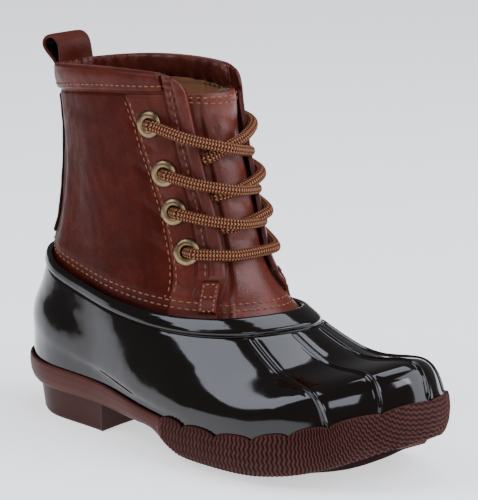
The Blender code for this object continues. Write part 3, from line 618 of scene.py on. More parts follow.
def underSpot(turn, keep, floor):   # the cup's floor or the sole's underside, closed along its middle line
    if floor:
        edge, mirror = cupSpot(turn, 0.0), cupSpot(1.0 - turn, 0.0)
    else:
        edge, mirror = randSpot(turn, 1.0), randSpot(1.0 - turn, 1.0)
    spot = mix(0.5 * (edge + mirror), edge, keep[..., None])
    share = shareOf(spot[..., 0])
    spot[..., 2] = floorHeight(share) if floor else mix(keelHeight(share), edge[..., 2], ease(keep * 1.1 - 0.1))
    return spot


soleTurns = np.interp(
    np.linspace(0, 1, sole["columns"] + 1),
    np.concatenate([[0], np.cumsum([1, 4, 4, 1])]) / 10.0,   # four tenths of the columns on each side of the toe
    [0.0, 0.27, 0.5, 0.73, 1.0],
)


def spread(turns, u):
    return np.interp(u, np.linspace(0, 1, len(turns)), turns)


def ribbedFrom(turn):
    return ease((np.minimum(turn, 1.0 - turn) - cusps[0]) / 0.005)


def outsolePlace(u, v):
    turn = spread(soleTurns, u)
    spots = np.zeros((len(u), 3))
    floor = v < bands["floor"]
    wall = (v >= bands["floor"]) & (v < bands["wall"])
    rand = (v >= bands["wall"]) & (v < bands["rand"])
    under = v >= bands["rand"]
    spots[floor] = underSpot(turn[floor], v[floor] / bands["floor"], True)
    spots[wall] = cupSpot(turn[wall], clamp((v[wall] - bands["floor"]) / 0.06))
    spots[rand] = randSpot(turn[rand], clamp((v[rand] - bands["wall"]) / 0.655))
    spots[under] = underSpot(turn[under], 1.0 - clamp((v[under] - bands["rand"]) / (1.0 - bands["rand"])), False)
    return spots


def outsoleShade(u, v):   # painted light on the ribs' crests, painted shade in their grooves
    turn = spread(soleTurns, u)
    ribbed = ribbedFrom(turn) * (v > 0.21) * (v < 0.85)
    return 1.0 - ribbed * ribDepthAt(turn, outsolePlace(u, v)[:, 2])


outsoleMesh = gridSheet(sole["columns"], sole["rows"], outsolePlace, outsoleShade)
outsolePiece = makePiece("outsole_rand", outsoleMesh, [randRubber, underShadeRubber], sole["weld"])
for face in outsolePiece.data.polygons:
    face.material_index = int(face.normal.z < -0.75)   # the underside gets the near-black rubber, painted shade under the sole
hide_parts("outsole")


def heelPlace(u, v):
    front = sole["heelFront"] * boot["length"] - boot["heelCentre"]
    down = clamp((v - 0.12) / 0.72)
    (nearU, farU), (nearTurn, farTurn) = sole["breast"], sole["heelCorners"]
    turn = np.interp(u, [0.0, nearU, farU, 1.0], [0.0, nearTurn, farTurn, 1.0])
    back = ease(1.0 - shareOf(soleSpot(turn, 0.0)[0]) / 0.16)
    inset = (mix(2.9, 3.0, down) + back * mix(1.1, 3.0, down)) * mm
    edge = np.interp(v, [0.0, 0.80, 0.84, 0.87, 1.0], [0.0, 0.0, 0.25, 0.8, 0.8]) * mm
    x, y = soleSpot(turn, inset + edge)
    breast = (u > nearU) & (u < farU)
    f = clamp((u - nearU) / (farU - nearU))
    nearX, nearY = soleSpot(np.full_like(u, nearTurn), inset + edge)
    farX, farY = soleSpot(np.full_like(u, farTurn), inset + edge)
    x = np.where(breast, mix(nearX, farX, f), x)
    y = np.where(breast, mix(nearY, farY, f), y)
    limit = front - edge - 2.0 * mm * np.sin(pi * f)
    x = np.minimum(x, limit)
    height = (sole["heelTop"] + 1.5 * mm) * (1.0 - down)
    keep = np.where(v < 0.12, v / 0.12, np.where(v > 0.87, 1.0 - (v - 0.87) / 0.13, 1.0))
    return np.stack([mix(0.0, x, keep), y * keep, height], -1)


makePiece("heel_block", gridSheet(240, 44, heelPlace), [soleRubber], sole["weld"])

# the flat rest under the ball
ballRest = {"x": 98.0 * mm, "long": 16.0 * mm, "wide": 28.0 * mm, "high": 1.5 * mm, "edge": 0.3 * mm}
restMesh = bmesh.new()
bmesh.ops.create_cube(restMesh, size=1.0, matrix=Matrix.Translation((ballRest["x"], 0.0, 0.5 * ballRest["high"]))
                      @ Matrix.Diagonal((ballRest["long"], ballRest["wide"], ballRest["high"], 1.0)))
bmesh.ops.bevel(restMesh, geom=restMesh.edges[:], offset=ballRest["edge"], segments=2, profile=0.5,
                affect="EDGES", material=-1)
# the ball rest's near-black rubber is painted shade
makePiece("ball_rest", restMesh, [underShadeRubber])
print("sole made")

# shell: glossy rubber lower with fanned ribs and a raised rim band
shell = {
    "ribs": [0.4325, 0.4655, 0.500, 0.5345, 0.5675],   # turn at the sole
    "ribLean": [0.000, 0.012, 0.018, 0.020, 0.016],     # how far each leans by the rim
    "ribHeight": 0.75 * mm, "ribWidth": 0.62 * mm,
    "ribTop": 3.66, "columns": 620,
}
shellProfile = np.array([  # level, offset in mm, rows up to the next station
    (0.10, 0.00, 4), (0.70, 0.00, 44), (3.30, 0.00, 8), (3.58, 0.00, 3), (3.625, -0.10, 2), (3.645, -0.40, 2),
    (3.655, -0.40, 2), (3.665, 0.25, 2), (3.68, 0.85, 2), (3.70, 1.10, 3), (3.76, 1.24, 4), (3.86, 1.26, 3),
    (3.94, 1.15, 2), (3.975, 0.90, 2), (3.992, 0.50, 2), (4.00, 0.00, 2), (4.00, -0.60, 2), (3.99, -0.95, 2),
    (3.95, -1.10, 6), (3.54, -1.10, 2), (3.49, -2.00, 4), (3.20, -2.00, 12), (0.40, -2.00, 2), (0.10, -2.00, 2),
    (0.10, 0.00, 0),
])
shellLines = []
for k, (level, offset, count) in enumerate(shellProfile[:-1]):
    for j in range(int(count)):
        shellLines.append((*mix(shellProfile[k, :2], shellProfile[k + 1, :2], j / count), float(k)))
shellLines = np.array(shellLines + [(*shellProfile[-1, :2], len(shellProfile) - 1.0)])   # level, offset, station
ribMiddles = [a + b * f for a, b in zip(shell["ribs"], shell["ribLean"]) for f in (0.0, 0.5, 1.0)]
shellTurns = denseTurns(shell["columns"] + 1, ribMiddles, gain=2.2, width=0.006)


def shellPlace(u, v):
    turn = spread(shellTurns, u)
    k = np.rint(v * (len(shellLines) - 1)).astype(int)
    level, offset, station = shellLines[k, 0], shellLines[k, 1] * mm, shellLines[k, 2]
    around = formAt(turn + 0.001, level) - formAt(turn - 0.001, level)
    perTurn = np.linalg.norm(around, axis=-1) / 0.002
    fade = ease((level - 0.95) / 0.25) * ease((shell["ribTop"] - level) / 0.12) * (station < 4)   # outside only
    for centre, lean in zip(shell["ribs"], shell["ribLean"]):
        across = (turn - centre - lean * clamp((level - 1.0) / (shell["ribTop"] - 1.0))) * perTurn
        rib = bell(across, shell["ribWidth"]) - 0.10 * bell(np.abs(across) - 1.6 * mm, 0.9 * mm)
        offset = offset + rib * shell["ribHeight"] * fade
    return pointAt(turn, level, offset)


shellMesh = gridSheet(shell["columns"], len(shellLines) - 1, shellPlace)
shellPiece = makePiece("shell_body", shellMesh, [shellRubber], sole["weld"])
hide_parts("shell")
print("shell made")

# upper: one leather sheet with its overlays, padded facing strips, folded collar band and creases
upper = {
    "wall": 1.6 * mm, "eyestayStep": 0.45 * mm, "stripStep": 0.35 * mm, "stripShare": 0.886, "rollShare": 0.934,
    "rollHeight": 1.65 * mm, "cuffStep": 0.8 * mm, "cuffLevel": 7.29, "cornerDrop": 0.45,
    "tongueSlack": 1.4 * mm, "tuckLevel": 3.58, "columns": 300, "rows": 140, "eyeletHole": 2.6 * mm,
    "wrinkle": 0.13 * mm, "farRoll": 0.22, "cuffSwell": 0.60 * mm,
    "perTurn": 205.0 * mm, "perLevel": 17.5 * mm, "perShare": 80.0 * mm, "cuffPerLevel": 16.0 * mm,   # flat lengths
}
creases = [  # turn and level of its two ends, width in mm, height in mm (troughs are negative)
    (0.088, 4.35, 0.096, 6.6, 4.2, -0.85), (0.118, 4.3, 0.122, 6.9, 5.0, 0.55), (0.062, 5.0, 0.070, 6.4, 3.0, 0.45),
    (0.165, 4.5, 0.150, 6.0, 5.5, -0.45), (0.205, 5.2, 0.190, 6.9, 6.0, 0.40), (0.235, 4.6, 0.255, 5.6, 4.0, -0.35),
    (0.275, 6.95, 0.300, 6.80, 1.2, -0.55), (0.272, 6.30, 0.318, 6.12, 1.1, -0.60),
    (0.285, 6.55, 0.305, 6.50, 1.0, 0.40), (0.288, 5.75, 0.330, 5.58, 1.1, -0.60),
    (0.300, 5.25, 0.345, 5.10, 1.2, -0.60), (0.305, 5.45, 0.330, 5.40, 1.0, 0.40),
    (0.318, 5.95, 0.336, 5.90, 0.8, -0.45), (0.330, 5.02, 0.362, 4.92, 0.9, -0.50),
    (0.300, 6.62, 0.322, 6.55, 0.8, -0.40), (0.345, 4.95, 0.350, 4.55, 1.3, -0.45),
    (0.367, 4.90, 0.372, 4.50, 1.2, 0.40), (0.378, 4.85, 0.384, 4.50, 1.2, -0.50),
    (0.330, 4.75, 0.385, 4.55, 1.8, -0.35), (0.395, 4.70, 0.430, 4.30, 1.6, -0.30),
    (0.410, 4.15, 0.470, 4.25, 1.8, -0.35), (0.140, 7.0, 0.210, 6.95, 2.2, -0.30),
    (0.020, 6.0, 0.040, 6.9, 3.5, -0.40), (0.015, 4.6, 0.030, 5.6, 4.0, 0.40), (0.955, 5.0, 0.950, 6.6, 4.5, -0.60),
    (0.905, 4.5, 0.900, 6.4, 5.0, 0.50), (0.850, 4.8, 0.865, 6.2, 5.0, -0.45), (0.800, 5.4, 0.790, 6.8, 5.0, 0.40),
    (0.745, 4.7, 0.760, 5.7, 4.0, -0.40), (0.715, 6.6, 0.680, 6.4, 1.4, -0.40), (0.710, 5.9, 0.670, 5.7, 1.4, -0.42),
    (0.700, 5.2, 0.650, 5.05, 1.5, -0.38), (0.660, 4.7, 0.610, 4.55, 1.7, -0.35),
    (0.600, 4.4, 0.560, 4.2, 1.6, -0.30), (0.860, 7.0, 0.780, 6.95, 2.2, -0.30),
]


def eyestayLine(level):
    return 0.70 + 0.115 * clamp((7.4 - level) / 3.1)


def wallTurn(share, level):
    return np.where(share >= 0, throat(level) * share, (1.0 - farEdge(level)) * share)


def topLevel(share):
    u = clamp((np.abs(share) - 0.87) / 0.13)
    return 8.0 - upper["cornerDrop"] * (1.0 - np.sqrt(clamp(1.0 - u * u)))


def leanIn(level):
    return -upper["tongueSlack"] * (1.0 - ease((level - 4.05) / 0.40))


def cuffEdge(share):
    return upper["cuffLevel"] + 0.31 * share * share


def creaseLift(table, turn, level, faded=True):
    lift = np.zeros_like(turn)
    perTurn, perLevel = upper["perTurn"], upper["perLevel"]
    turn = np.mod(turn, 1.0)
    for turnA, levelA, turnB, levelB, width, height in table:
        x, y = (turn - turnA) * perTurn, (level - levelA) * perLevel
        dx, dy = (turnB - turnA) * perTurn, (levelB - levelA) * perLevel
        f = clamp((x * dx + y * dy) / (dx * dx + dy * dy))
        fade = np.sin(pi * clamp(0.08 + 0.84 * f)) if faded else 1.0
        lift = lift + height * mm * bell(np.hypot(x - f * dx, y - f * dy), width * mm) * fade
    return lift


def smallWrinkles(turn, level):
    a = np.sin(turn * 172.0 + 2.1 * np.sin(level * 3.3)) * np.sin(level * 7.9 + 1.7 * np.sin(turn * 61.0))
    b = np.sin(turn * 263.0 - level * 9.0 + 1.3 * np.sin(turn * 83.0)) * np.sin(level * 12.7 + turn * 97.0)
    return upper["wrinkle"] * (0.65 * a + 0.35 * b)


def upperLift(share, level):
    turn = wallTurn(share, level)
    reach = np.abs(share)
    fadeIn = ease((level - 4.1) / 0.3)
    fromLine = (reach - eyestayLine(level)) * upper["perShare"]
    underCuff = ease((cuffEdge(share) - level) / 0.05) + ease((reach - upper["stripShare"]) / 0.004)
    stay = upper["eyestayStep"] * fadeIn * ease(fromLine / (0.5 * mm) + 0.5) * clamp(underCuff)
    # the facing strip: a step, a puckered flange and a roll along the throat
    fromStrip = (reach - upper["stripShare"]) * upper["perShare"]
    flange = clamp(fromStrip / ((upper["rollShare"] - upper["stripShare"]) * upper["perShare"]))
    strip = clamp((reach - upper["rollShare"]) / (1.0 - upper["rollShare"]))
    roll = upper["rollHeight"] * np.sqrt(clamp(1.0 - np.abs(2.0 * strip - 1.0) ** 3)) * (reach > upper["rollShare"])
    roll = roll * np.where(share < 0, upper["farRoll"], 1.0)   # the lace squeezes the far edge flat
    roll = roll + 0.22 * mm * np.sin(pi * flange) * (1.0 + 0.6 * np.sin(level * 41.0))
    groove = -0.60 * mm * bell(fromStrip + 0.25 * mm, 0.5 * mm)
    step = upper["stripStep"] * ease(fromStrip / (0.5 * mm))
    stripFade = ease((level - 4.75) / 0.12)
    lift = leanIn(level) + stay + stripFade * (step + roll + groove) + (1.0 - stripFade) * fadeIn * step
    # the cuff: a step with a groove under it, and a swelling above
    fromCuff = (level - cuffEdge(share)) * upper["cuffPerLevel"]
    swell = upper["cuffSwell"] * ease(reach / 0.3) * bell(fromCuff - 5.0 * mm, 3.4 * mm) * ease(fromCuff / mm)
    band = upper["cuffStep"] * ease(fromCuff / (0.9 * mm)) + swell
    band = band - 0.4 * mm * bell(fromCuff + 0.25 * mm, 0.55 * mm)
    cuffFade = ease((upper["stripShare"] - 0.004 - reach) / 0.012)
    calm = ease((level - 4.05) / 0.35) * (0.25 + 0.75 * ease((7.95 - level) / 0.6))
    return lift + cuffFade * band + calm * (creaseLift(creases, turn, level) + smallWrinkles(turn, level))


def upperSpot(share, level, extra=0.0):
    share, level = np.broadcast_arrays(np.asarray(share, float), np.asarray(level, float))
    return pointAt(wallTurn(share, level), level, upperLift(share, level) + extra)


def eyeletPlaces():
    places = []
    for turn, level, drop in eyeletTable:
        places.append((turn, level, drop, 1))
        places.append((1.0 - turn - throatLean, level, drop, -1))
    return places


def shareAt(turn, level):
    return np.where(turn < 0.5, turn / throat(level), (turn - 1.0) / (1.0 - farEdge(level)))


eyeletFrames = {}   # for each eyelet: its place on the leather, the way out and the way across to the throat
for turn, level, drop, side in eyeletPlaces():
    share = float(shareAt(turn, level))
    spot = upperSpot(share, level)
    nearby = upperSpot(share - 0.03 * side, level), upperSpot(share + 0.03 * side, level)
    across = unit(nearby[1] - nearby[0])
    up = unit(upperSpot(share, level + 0.12) - upperSpot(share, level - 0.12))
    out = unit(np.cross(across, up)) * side
    number = 1 + [row[1] for row in eyeletTable].index(level)
    eyeletFrames[("near" if side > 0 else "far", number)] = (spot, out, across)

halfShares = denseTurns(upper["columns"] // 2 + 1, [0.70, 0.76, 0.815, 0.886, 0.94, 0.97, 1.0], 2.5, 0.02)
upperShares = np.concatenate([-halfShares[:0:-1], halfShares])
upperLevels = denseTurns(upper["rows"] + 1, [7.38, 7.5, 7.9, 8.0], 1.5, 0.10, upper["tuckLevel"], 8.0)


def upperPlace(u, v):
    share, level = spread(upperShares, u), spread(upperLevels, v)
    top = topLevel(share)
    level = np.where(level > 7.0, 7.0 + (level - 7.0) * (top - 7.0), level)
    edge = clamp((level - top + 0.13) / 0.13)   # the rolled top edge
    return upperSpot(share, level, -0.95 * mm * edge ** 2.5)


def zoneOf(u, v):   # quarter, eyestay, facing strip or cuff
    share, level = spread(upperShares, u), spread(upperLevels, v)
    reach = np.abs(share)
    if reach > upper["stripShare"] - 0.002 and level > 4.78:
        return 2
    if level > cuffEdge(share):
        return 3
    return 1 if reach > eyestayLine(level) else 0


upperMesh = gridSheet(len(upperShares) - 1, upper["rows"], upperPlace)
holeCentres = [Vector(spot) for spot, out, across in eyeletFrames.values()]
holeFaces = [face for face in upperMesh.faces
             if any((face.calc_center_median() - centre).length < upper["eyeletHole"] for centre in holeCentres)]
bmesh.ops.delete(upperMesh, geom=holeFaces, context="FACES")
flowLayer = upperMesh.loops.layers.uv["flow"]
for face in upperMesh.faces:
    u = sum(loop[flowLayer].uv[0] for loop in face.loops) / len(face.loops)
    v = sum(loop[flowLayer].uv[1] for loop in face.loops) / len(face.loops)
    face.material_index = zoneOf(u, v)


# the four zones of the outside, then the same four on the inside
upperLeathers = [quarterLeather, stayLeather, stripLeather, cuffLeather,
                 tanLining, tanLining, stripLeather, collarLeather]
upperPiece = makePiece("upper_leather", upperMesh, upperLeathers, awayFrom=(0.025, 0.0, 0.09))
thicken(upperPiece, upper["wall"], 4)
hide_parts("upper")
print("upper made")

# tongue
tongueSizes = {"wall": 1.5 * mm, "columns": 110, "rows": 190, "top": 7.60, "low": 3.58, "padding": 0.6 * mm}


def halfWidth(level):
    return 0.5 - throat(level) + 0.055


def tongueLift(turn, level):   # free in the throat, pressed under the facings beside it
    free = mix(-1.4, -1.7, ease(level - 4.0))
    free = mix(free, -2.4, ease((level - 5.2) / 1.5))
    under = leanIn(level) / mm - 1.6 - 0.3 - mix(0.35, 1.4, ease((level - 4.3) / 0.9))
    reach = np.abs(turn - 0.5) / (0.5 - throat(level))
    start = np.where(turn < 0.5, 0.70, 0.82)
    return mix(free, np.minimum(under, free), ease((reach - start) / 0.17)) * mm


tongueCreases = [  # turn, level at the ends, width mm, height mm
    (0.45, 7.22, 0.54, 7.15, 1.8, -0.35), (0.47, 6.98, 0.52, 6.92, 1.4, 0.30), (0.46, 6.55, 0.53, 6.50, 1.4, -0.30),
    (0.47, 5.95, 0.52, 5.90, 1.2, -0.28), (0.46, 5.45, 0.53, 5.42, 1.2, -0.25), (0.42, 7.35, 0.45, 7.0, 1.5, -0.30),
]


def tonguePlace(u, v):
    across = 2.0 * u - 1.0
    level = tongueSizes["low"] + (tongueSizes["top"] - tongueSizes["low"]) * v
    level = level - 0.14 * across * across * ease((level - 7.3) / 0.3)
    level = level - 0.10 * np.abs(across) ** 6 * ease((v - 0.94) / 0.06)
    turn = 0.495 + across * halfWidth(level)
    lift = tongueLift(turn, level)
    lift = lift + creaseLift(tongueCreases, turn, level, False) * ease((level - 4.2) / 0.5)
    edge = ease((v - 0.975) / 0.025)
    lift = lift - 0.45 * mm * edge + tongueSizes["padding"] * ease((level - 6.9) / 0.4) * (1.0 - across ** 4)
    return pointAt(turn, level, lift)


tongueMesh = gridSheet(tongueSizes["columns"], tongueSizes["rows"], tonguePlace)
tonguePiece = makePiece("tongue_leather", tongueMesh, [tongueLeather, tanLining],
                        awayFrom=(0.02, 0.0, 0.07))
thicken(tonguePiece, tongueSizes["wall"], 1)
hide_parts("tongue")
print("tongue made")


# lace: a cord along smooth control points
def smoothPath(controls, step):
    points = np.array(controls, float)
    fine = onSpline(withEnds(points), np.linspace(0, len(points) - 1, 24 * (len(points) - 1) + 1))
    lengths = np.concatenate([[0], np.cumsum(np.linalg.norm(np.diff(fine[:, :3], axis=0), axis=1))])
    even = np.linspace(0, lengths[-1], max(int(lengths[-1] / step), 4))
    return np.stack([np.interp(even, lengths, fine[:, j]) for j in range(fine.shape[1])], -1), lengths[-1]


def tubeMesh(controls, step, sides, pitch):
    path, length = smoothPath(controls, step)
    centres, radii = path[:, :3], path[:, 3]
    tangents = unit(np.gradient(centres, axis=0))
    normals = np.zeros_like(tangents)
    before = np.array((0.0, 0.0, 1.0))
    for k in range(len(path)):
        normals[k] = before = unit(before - tangents[k] * np.dot(before, tangents[k]))
    sideWays = np.cross(tangents, normals)
    rows = len(path) - 1

    def place(u, v):
        k = np.rint(v * rows).astype(int)
        angle = 2 * pi * u
        ring = normals[k] * np.cos(angle)[:, None] + sideWays[k] * np.sin(angle)[:, None]
        ringSize = radii[k] * np.where((k == 0) | (k == rows), 0.0, 1.0)
        return centres[k] + ring * ringSize[:, None]

    mesh = gridSheet(sides, rows, place)
    layer = mesh.loops.layers.uv["flow"]
    for face in mesh.faces:
        for loop in face.loops:
            u, v = loop[layer].uv
            loop[layer].uv = (u, v * length / pitch)
    return mesh, length


lace = {
    "radius": 1.92 * mm, "hidden": 1.0 * mm, "edgeLift": 3.72 * mm, "pitch": 1.05 * mm,
    "through": 1.45 * mm, "step": 0.45 * mm, "sides": 20,
    "middle": 0.468, "tuckLift": -3.0 * mm, "hiddenLift": -3.2 * mm,   # where a cord has gone under a facing
}


def eyeletPoint(side, number, height, toward=0.0):
    spot, out, across = eyeletFrames[(side, number)]
    direction = across if side == "near" else -across
    return spot + out * height + direction * toward


def laced(turn, level, lift, radius):
    return (*pointAt(turn, level, lift), radius)


def laceControls():
    r, thin, hidden = lace["radius"], lace["through"], lace["hidden"]
    points = []

    def rise(side, number, outward):
        high = 4.0 if side == "near" else 3.2
        # each step: height over the leather and way toward the throat in mm, then the cord's radius
        steps = [(-3.0, 0.0, hidden), (-0.6, 0.0, thin), (1.7, 0.5, 1.8 * mm), (0.85 * high, 2.6, r), (high, 5.2, r)]
        made = [(*eyeletPoint(side, number, h * mm, t * mm), rad) for h, t, rad in steps]
        return made if outward else made[::-1]

    def crossing(k, nearFirst):   # from one facing's edge to under the other one
        turn, level, drop, _ = eyeletPlaces()[2 * (k - 1)]
        low = level - drop
        over = tongueLift(np.array(0.5), np.array(level)) / mm + 2.55   # the cord's middle over the tongue, in mm
        if nearFirst:
            return [
                laced(throat(level) - 0.012, level - 0.33 * drop, lace["edgeLift"] + 0.8 * mm, r),
                laced(lace["middle"], level - 0.66 * drop, (over + 3.5) * mm, r),
                laced(farEdge(low) - 0.014, low, (over + 0.2) * mm, r),
                laced(farEdge(low) + 0.006, low - 0.02, lace["tuckLift"], 0.6 * (r + hidden)),
                laced(farEdge(low) + 0.022, low - 0.05, lace["hiddenLift"], hidden),
            ]
        return [
            laced(farEdge(level) + 0.010, level - 0.02, lace["edgeLift"] - 0.75 * mm, r),
            laced(0.53, level - 0.33 * drop, (over + 0.9) * mm, r),
            laced(lace["middle"], 0.5 * (level + low) - 0.05, (over - 0.1) * mm, r),
            laced(throat(low) + 0.014, low, (over + 0.1) * mm, r),
            laced(throat(low) - 0.006, low - 0.02, lace["tuckLift"], 0.6 * (r + hidden)),
            laced(throat(low) - 0.020, low - 0.05, lace["hiddenLift"], hidden),
        ]

    # down the near-first crossings and eyelets, across the bottom bar, and back up
    points += rise("near", 1, True) + crossing(1, True)
    points += rise("far", 2, True) + crossing(2, False)
    points += rise("near", 3, True) + crossing(3, True)
    points += rise("far", 4, True)
    level = eyeletTable[3][1]
    points += [
        laced(farEdge(level) + 0.014, level, lace["edgeLift"] - 0.85 * mm, r),
        laced(0.530, level, lace["edgeLift"] - 0.7 * mm, r),
        laced(0.460, level, lace["edgeLift"] - 0.7 * mm, r),
        laced(throat(level) - 0.014, level, lace["edgeLift"] + 0.4 * mm, r),
    ]
    points += rise("near", 4, False)
    points += crossing(3, False)[::-1] + rise("far", 3, False)
    points += crossing(2, True)[::-1] + rise("near", 2, False)
    points += crossing(1, False)[::-1] + rise("far", 1, False)
    return points


laceMesh, laceLength = tubeMesh(laceControls(), lace["step"], lace["sides"], lace["pitch"])
lacePiece = makePiece("lace_cord", laceMesh, [laceBraid], weld=0.0005 * mm)
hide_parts("lace_bar", "lace_cross_1", "lace_cross_2", "lace_cross_3")
print("lace made, metres long:", round(float(laceLength), 3))

# eyelets: rolled rings turned from a profile, in one piece each
eyeletProfile = [(1.95, -2.0), (1.95, 0.2), (2.05, 0.75), (2.35, 1.12), (2.8, 1.32), (3.3, 1.34), (3.9, 1.22),
                 (4.4, 0.95), (4.75, 0.55), (4.9, 0.15), (4.8, -0.1), (3.4, -0.15), (2.5, -0.2), (2.35, -2.0)]


def eyeletMesh(spot, out, across):
    mesh = bmesh.new()
    mesh.loops.layers.uv.new("flow")
    verts = [mesh.verts.new((r * mm, 0.0, h * mm)) for r, h in eyeletProfile]
    edges = [mesh.edges.new((a, b)) for a, b in zip(verts, verts[1:] + verts[:1])]
    bmesh.ops.spin(mesh, geom=verts + edges, cent=(0, 0, 0), axis=(0, 0, 1), angle=2 * pi, steps=48, use_merge=True)
    up = np.cross(out, across)
    turnTo = Matrix([[across[i], up[i], out[i], spot[i]] for i in range(3)] + [[0, 0, 0, 1]])
    bmesh.ops.transform(mesh, matrix=turnTo, verts=mesh.verts[:])
    return mesh


for (side, number), (spot, out, across) in eyeletFrames.items():
    ringMesh = eyeletMesh(spot, out, across)
    ring = makePiece(f"ring_{side}_{number}", ringMesh, [eyeletBrass], weld=0.001 * mm)
    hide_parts(f"eyelet_{side}_{number}")
print("eyelets made")

# tabs at the foot of the facing strips, and the padded binding inside the collar
tab = {"low": 4.10, "high": 4.74, "thick": 0.9 * mm, "lift": 0.15 * mm}


def tabShares(side, level):
    middle = mix(0.970, 0.952, (level - tab["low"]) / (tab["high"] - tab["low"])) - (0.05 if side < 0 else 0.0)
    return middle - 0.040, middle + 0.028


def tabPlaceOn(side):
    def place(u, v):
        level = mix(tab["low"], tab["high"], v) + 0.03 * np.sin(pi * u)
        first, last = tabShares(side, level)
        share = mix(first, last, u)
        rim = np.maximum(ease((np.abs(2 * u - 1) - 0.86) / 0.14), ease((np.abs(2 * v - 1) - 0.92) / 0.08))
        puff = 0.35 * mm * (1.0 - rim) + 0.12 * mm * np.sin(9.0 * v + 4.0 * u)
        return upperSpot(side * share, level, tab["lift"] + tab["thick"] + puff - 0.5 * mm * rim)
    return place


for side, sideName in ((1, "near"), (-1, "far")):
    tabMesh = gridSheet(26, 40, tabPlaceOn(side))
    tabPiece = makePiece(f"facing_tab_{sideName}", tabMesh, [stripLeather],
                         awayFrom=(0.025, 0.0, 0.05))
    thicken(tabPiece, tab["thick"])

binding = {"reach": 0.905, "endLevel": 7.72, "endOffset": -1.6, "columns": 340, "rows": 60}
bindingLine = np.array([  # level, offset in mm, from inside the wall over the fold and down the inner face
    (7.55, -1.2), (7.80, -0.9), (7.92, -0.4), (7.985, 0.15), (8.03, -0.3), (8.055, -1.1), (8.04, -2.2), (7.99, -3.1),
    (7.90, -3.6), (7.78, -3.7), (7.64, -3.45), (7.54, -3.0), (7.47, -2.4), (7.44, -1.9), (7.50, -1.4), (7.55, -1.2),
])


def bindingPlace(u, v):
    share = binding["reach"] * (2.0 * u - 1.0)
    around = np.vstack([bindingLine[-2:-1], bindingLine, bindingLine[1:2]])
    line = onSpline(around, v * (len(bindingLine) - 1))
    inner = ease((-line[:, 1] - 1.0) / 1.5)
    ruck = 0.22 * np.sin(share * 61.0 + 2.0 * np.sin(share * 17.0)) + 0.14 * np.sin(share * 103.0 + 5.0 * line[:, 0])
    ends = np.sqrt(clamp(1.0 - (np.abs(2.0 * u - 1.0)) ** 40))
    level = mix(binding["endLevel"], line[:, 0], ends)
    offset = mix(binding["endOffset"], line[:, 1], ends)
    drop = topLevel(share) - 8.0
    return pointAt(wallTurn(share, level), level + drop, (offset + inner * ruck * ends) * mm)


bindingMesh = gridSheet(binding["columns"], binding["rows"], bindingPlace)
makePiece("collar_binding", bindingMesh, [collarLeather], weld=0.002 * mm)
print("tabs and binding made")

# pull loop, backstay and foot bed
pullLoop = {
    "width": 16.0 * mm, "rise": 9.8 * mm, "open": 9.0 * mm, "thick": 1.3 * mm, "lean": 2.5 * mm,
    "sewn": (7.62, 7.72, 7.82, 7.92), "outside": -0.2 * mm, "inside": -2.4 * mm,   # both ends are sewn in
    "step": 0.35 * mm,
}


def loopPath():
    def leg(offset):
        spots = [pointAt(0.0, level, offset) for level in pullLoop["sewn"]]
        return [(spot[0], spot[2], 1.0) for spot in spots]

    path, inner = leg(pullLoop["outside"]), leg(pullLoop["inside"])[::-1]
    middle = 0.5 * (path[-1][0] + inner[0][0]) - pullLoop["lean"]
    top = pointAt(0.0, 8.0)[2]
    for k in range(25):
        angle = pi * (1.0 - k / 24)
        path.append((middle + 0.5 * pullLoop["open"] * math.cos(angle),
                     top + pullLoop["rise"] * (0.58 + 0.42 * math.sin(angle)), 0.2))
    points = np.array(path + inner)
    lengths = np.concatenate([[0], np.cumsum(np.hypot(*np.diff(points[:, :2], axis=0).T))])
    even = np.linspace(0, lengths[-1], int(lengths[-1] / pullLoop["step"]))
    line = np.stack([np.interp(even, lengths, points[:, j]) for j in range(3)], -1)
    for again in range(3):   # smoothed three times, with both ends held
        wide = np.vstack([line[:1]] * 5 + [line] + [line[-1:]] * 5)
        line = np.stack([np.convolve(wide[:, j], np.ones(11) / 11, "valid") for j in range(3)], -1)
    return line


loopLine = loopPath()
legBow = float(pointAt(0.061, 7.9)[0] - pointAt(0.0, 7.9)[0])
loopMiddleY = float(pointAt(0.0, 7.9)[1])


def loopPlace(u, v):
    rows = len(loopLine) - 1
    k = np.rint(v * rows).astype(int)
    x, z, bow = loopLine[k, 0], loopLine[k, 1], loopLine[k, 2]
    slopes = unit(np.gradient(loopLine[:, :2], axis=0))[k]
    across = 2.0 * u - 1.0
    edge = clamp((np.abs(across) - 0.90) / 0.10)
    puff = 0.30 * mm * (1.0 - np.abs(across) ** 6) - 0.25 * mm * bell(np.abs(across) - 0.84, 0.05)
    lift = 0.5 * pullLoop["thick"] - 0.25 * mm * edge ** 2 + 0.4 * puff
    crinkle = 0.05 * mm * np.sin(across * 3.0 + v * 9.0)
    return np.stack([x + legBow * bow * across ** 2 - slopes[:, 1] * (lift + crinkle),
                     loopMiddleY + 0.5 * pullLoop["width"] * across,
                     z + slopes[:, 0] * (lift + crinkle)], -1)


loopMesh = gridSheet(40, len(loopLine) - 1, loopPlace)
loopPiece = makePiece("pull_strap", loopMesh, [loopLeather, darkLeather],
                      awayFrom=(-0.0135, 0.0, 0.132))
thicken(loopPiece, pullLoop["thick"], 1)
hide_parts("pull_loop")

backstay = {"half": 0.064, "low": 4.45, "high": 7.20, "lift": 0.25 * mm, "thick": 0.9 * mm}


def backstayPlace(u, v):
    across = 2.0 * u - 1.0
    turn = backstay["half"] * across
    level = mix(backstay["low"], backstay["high"], v) + 0.05 * (1.0 - across ** 2) * (v - 0.5)
    edge = np.maximum(ease((np.abs(across) - 0.88) / 0.12), ease((np.abs(2.0 * v - 1.0) - 0.975) / 0.025))
    share = shareAt(np.mod(turn, 1.0), level)
    lift = upperLift(share, level) + backstay["lift"] + backstay["thick"] * (1.0 - 0.55 * edge)
    return pointAt(turn, level, lift)


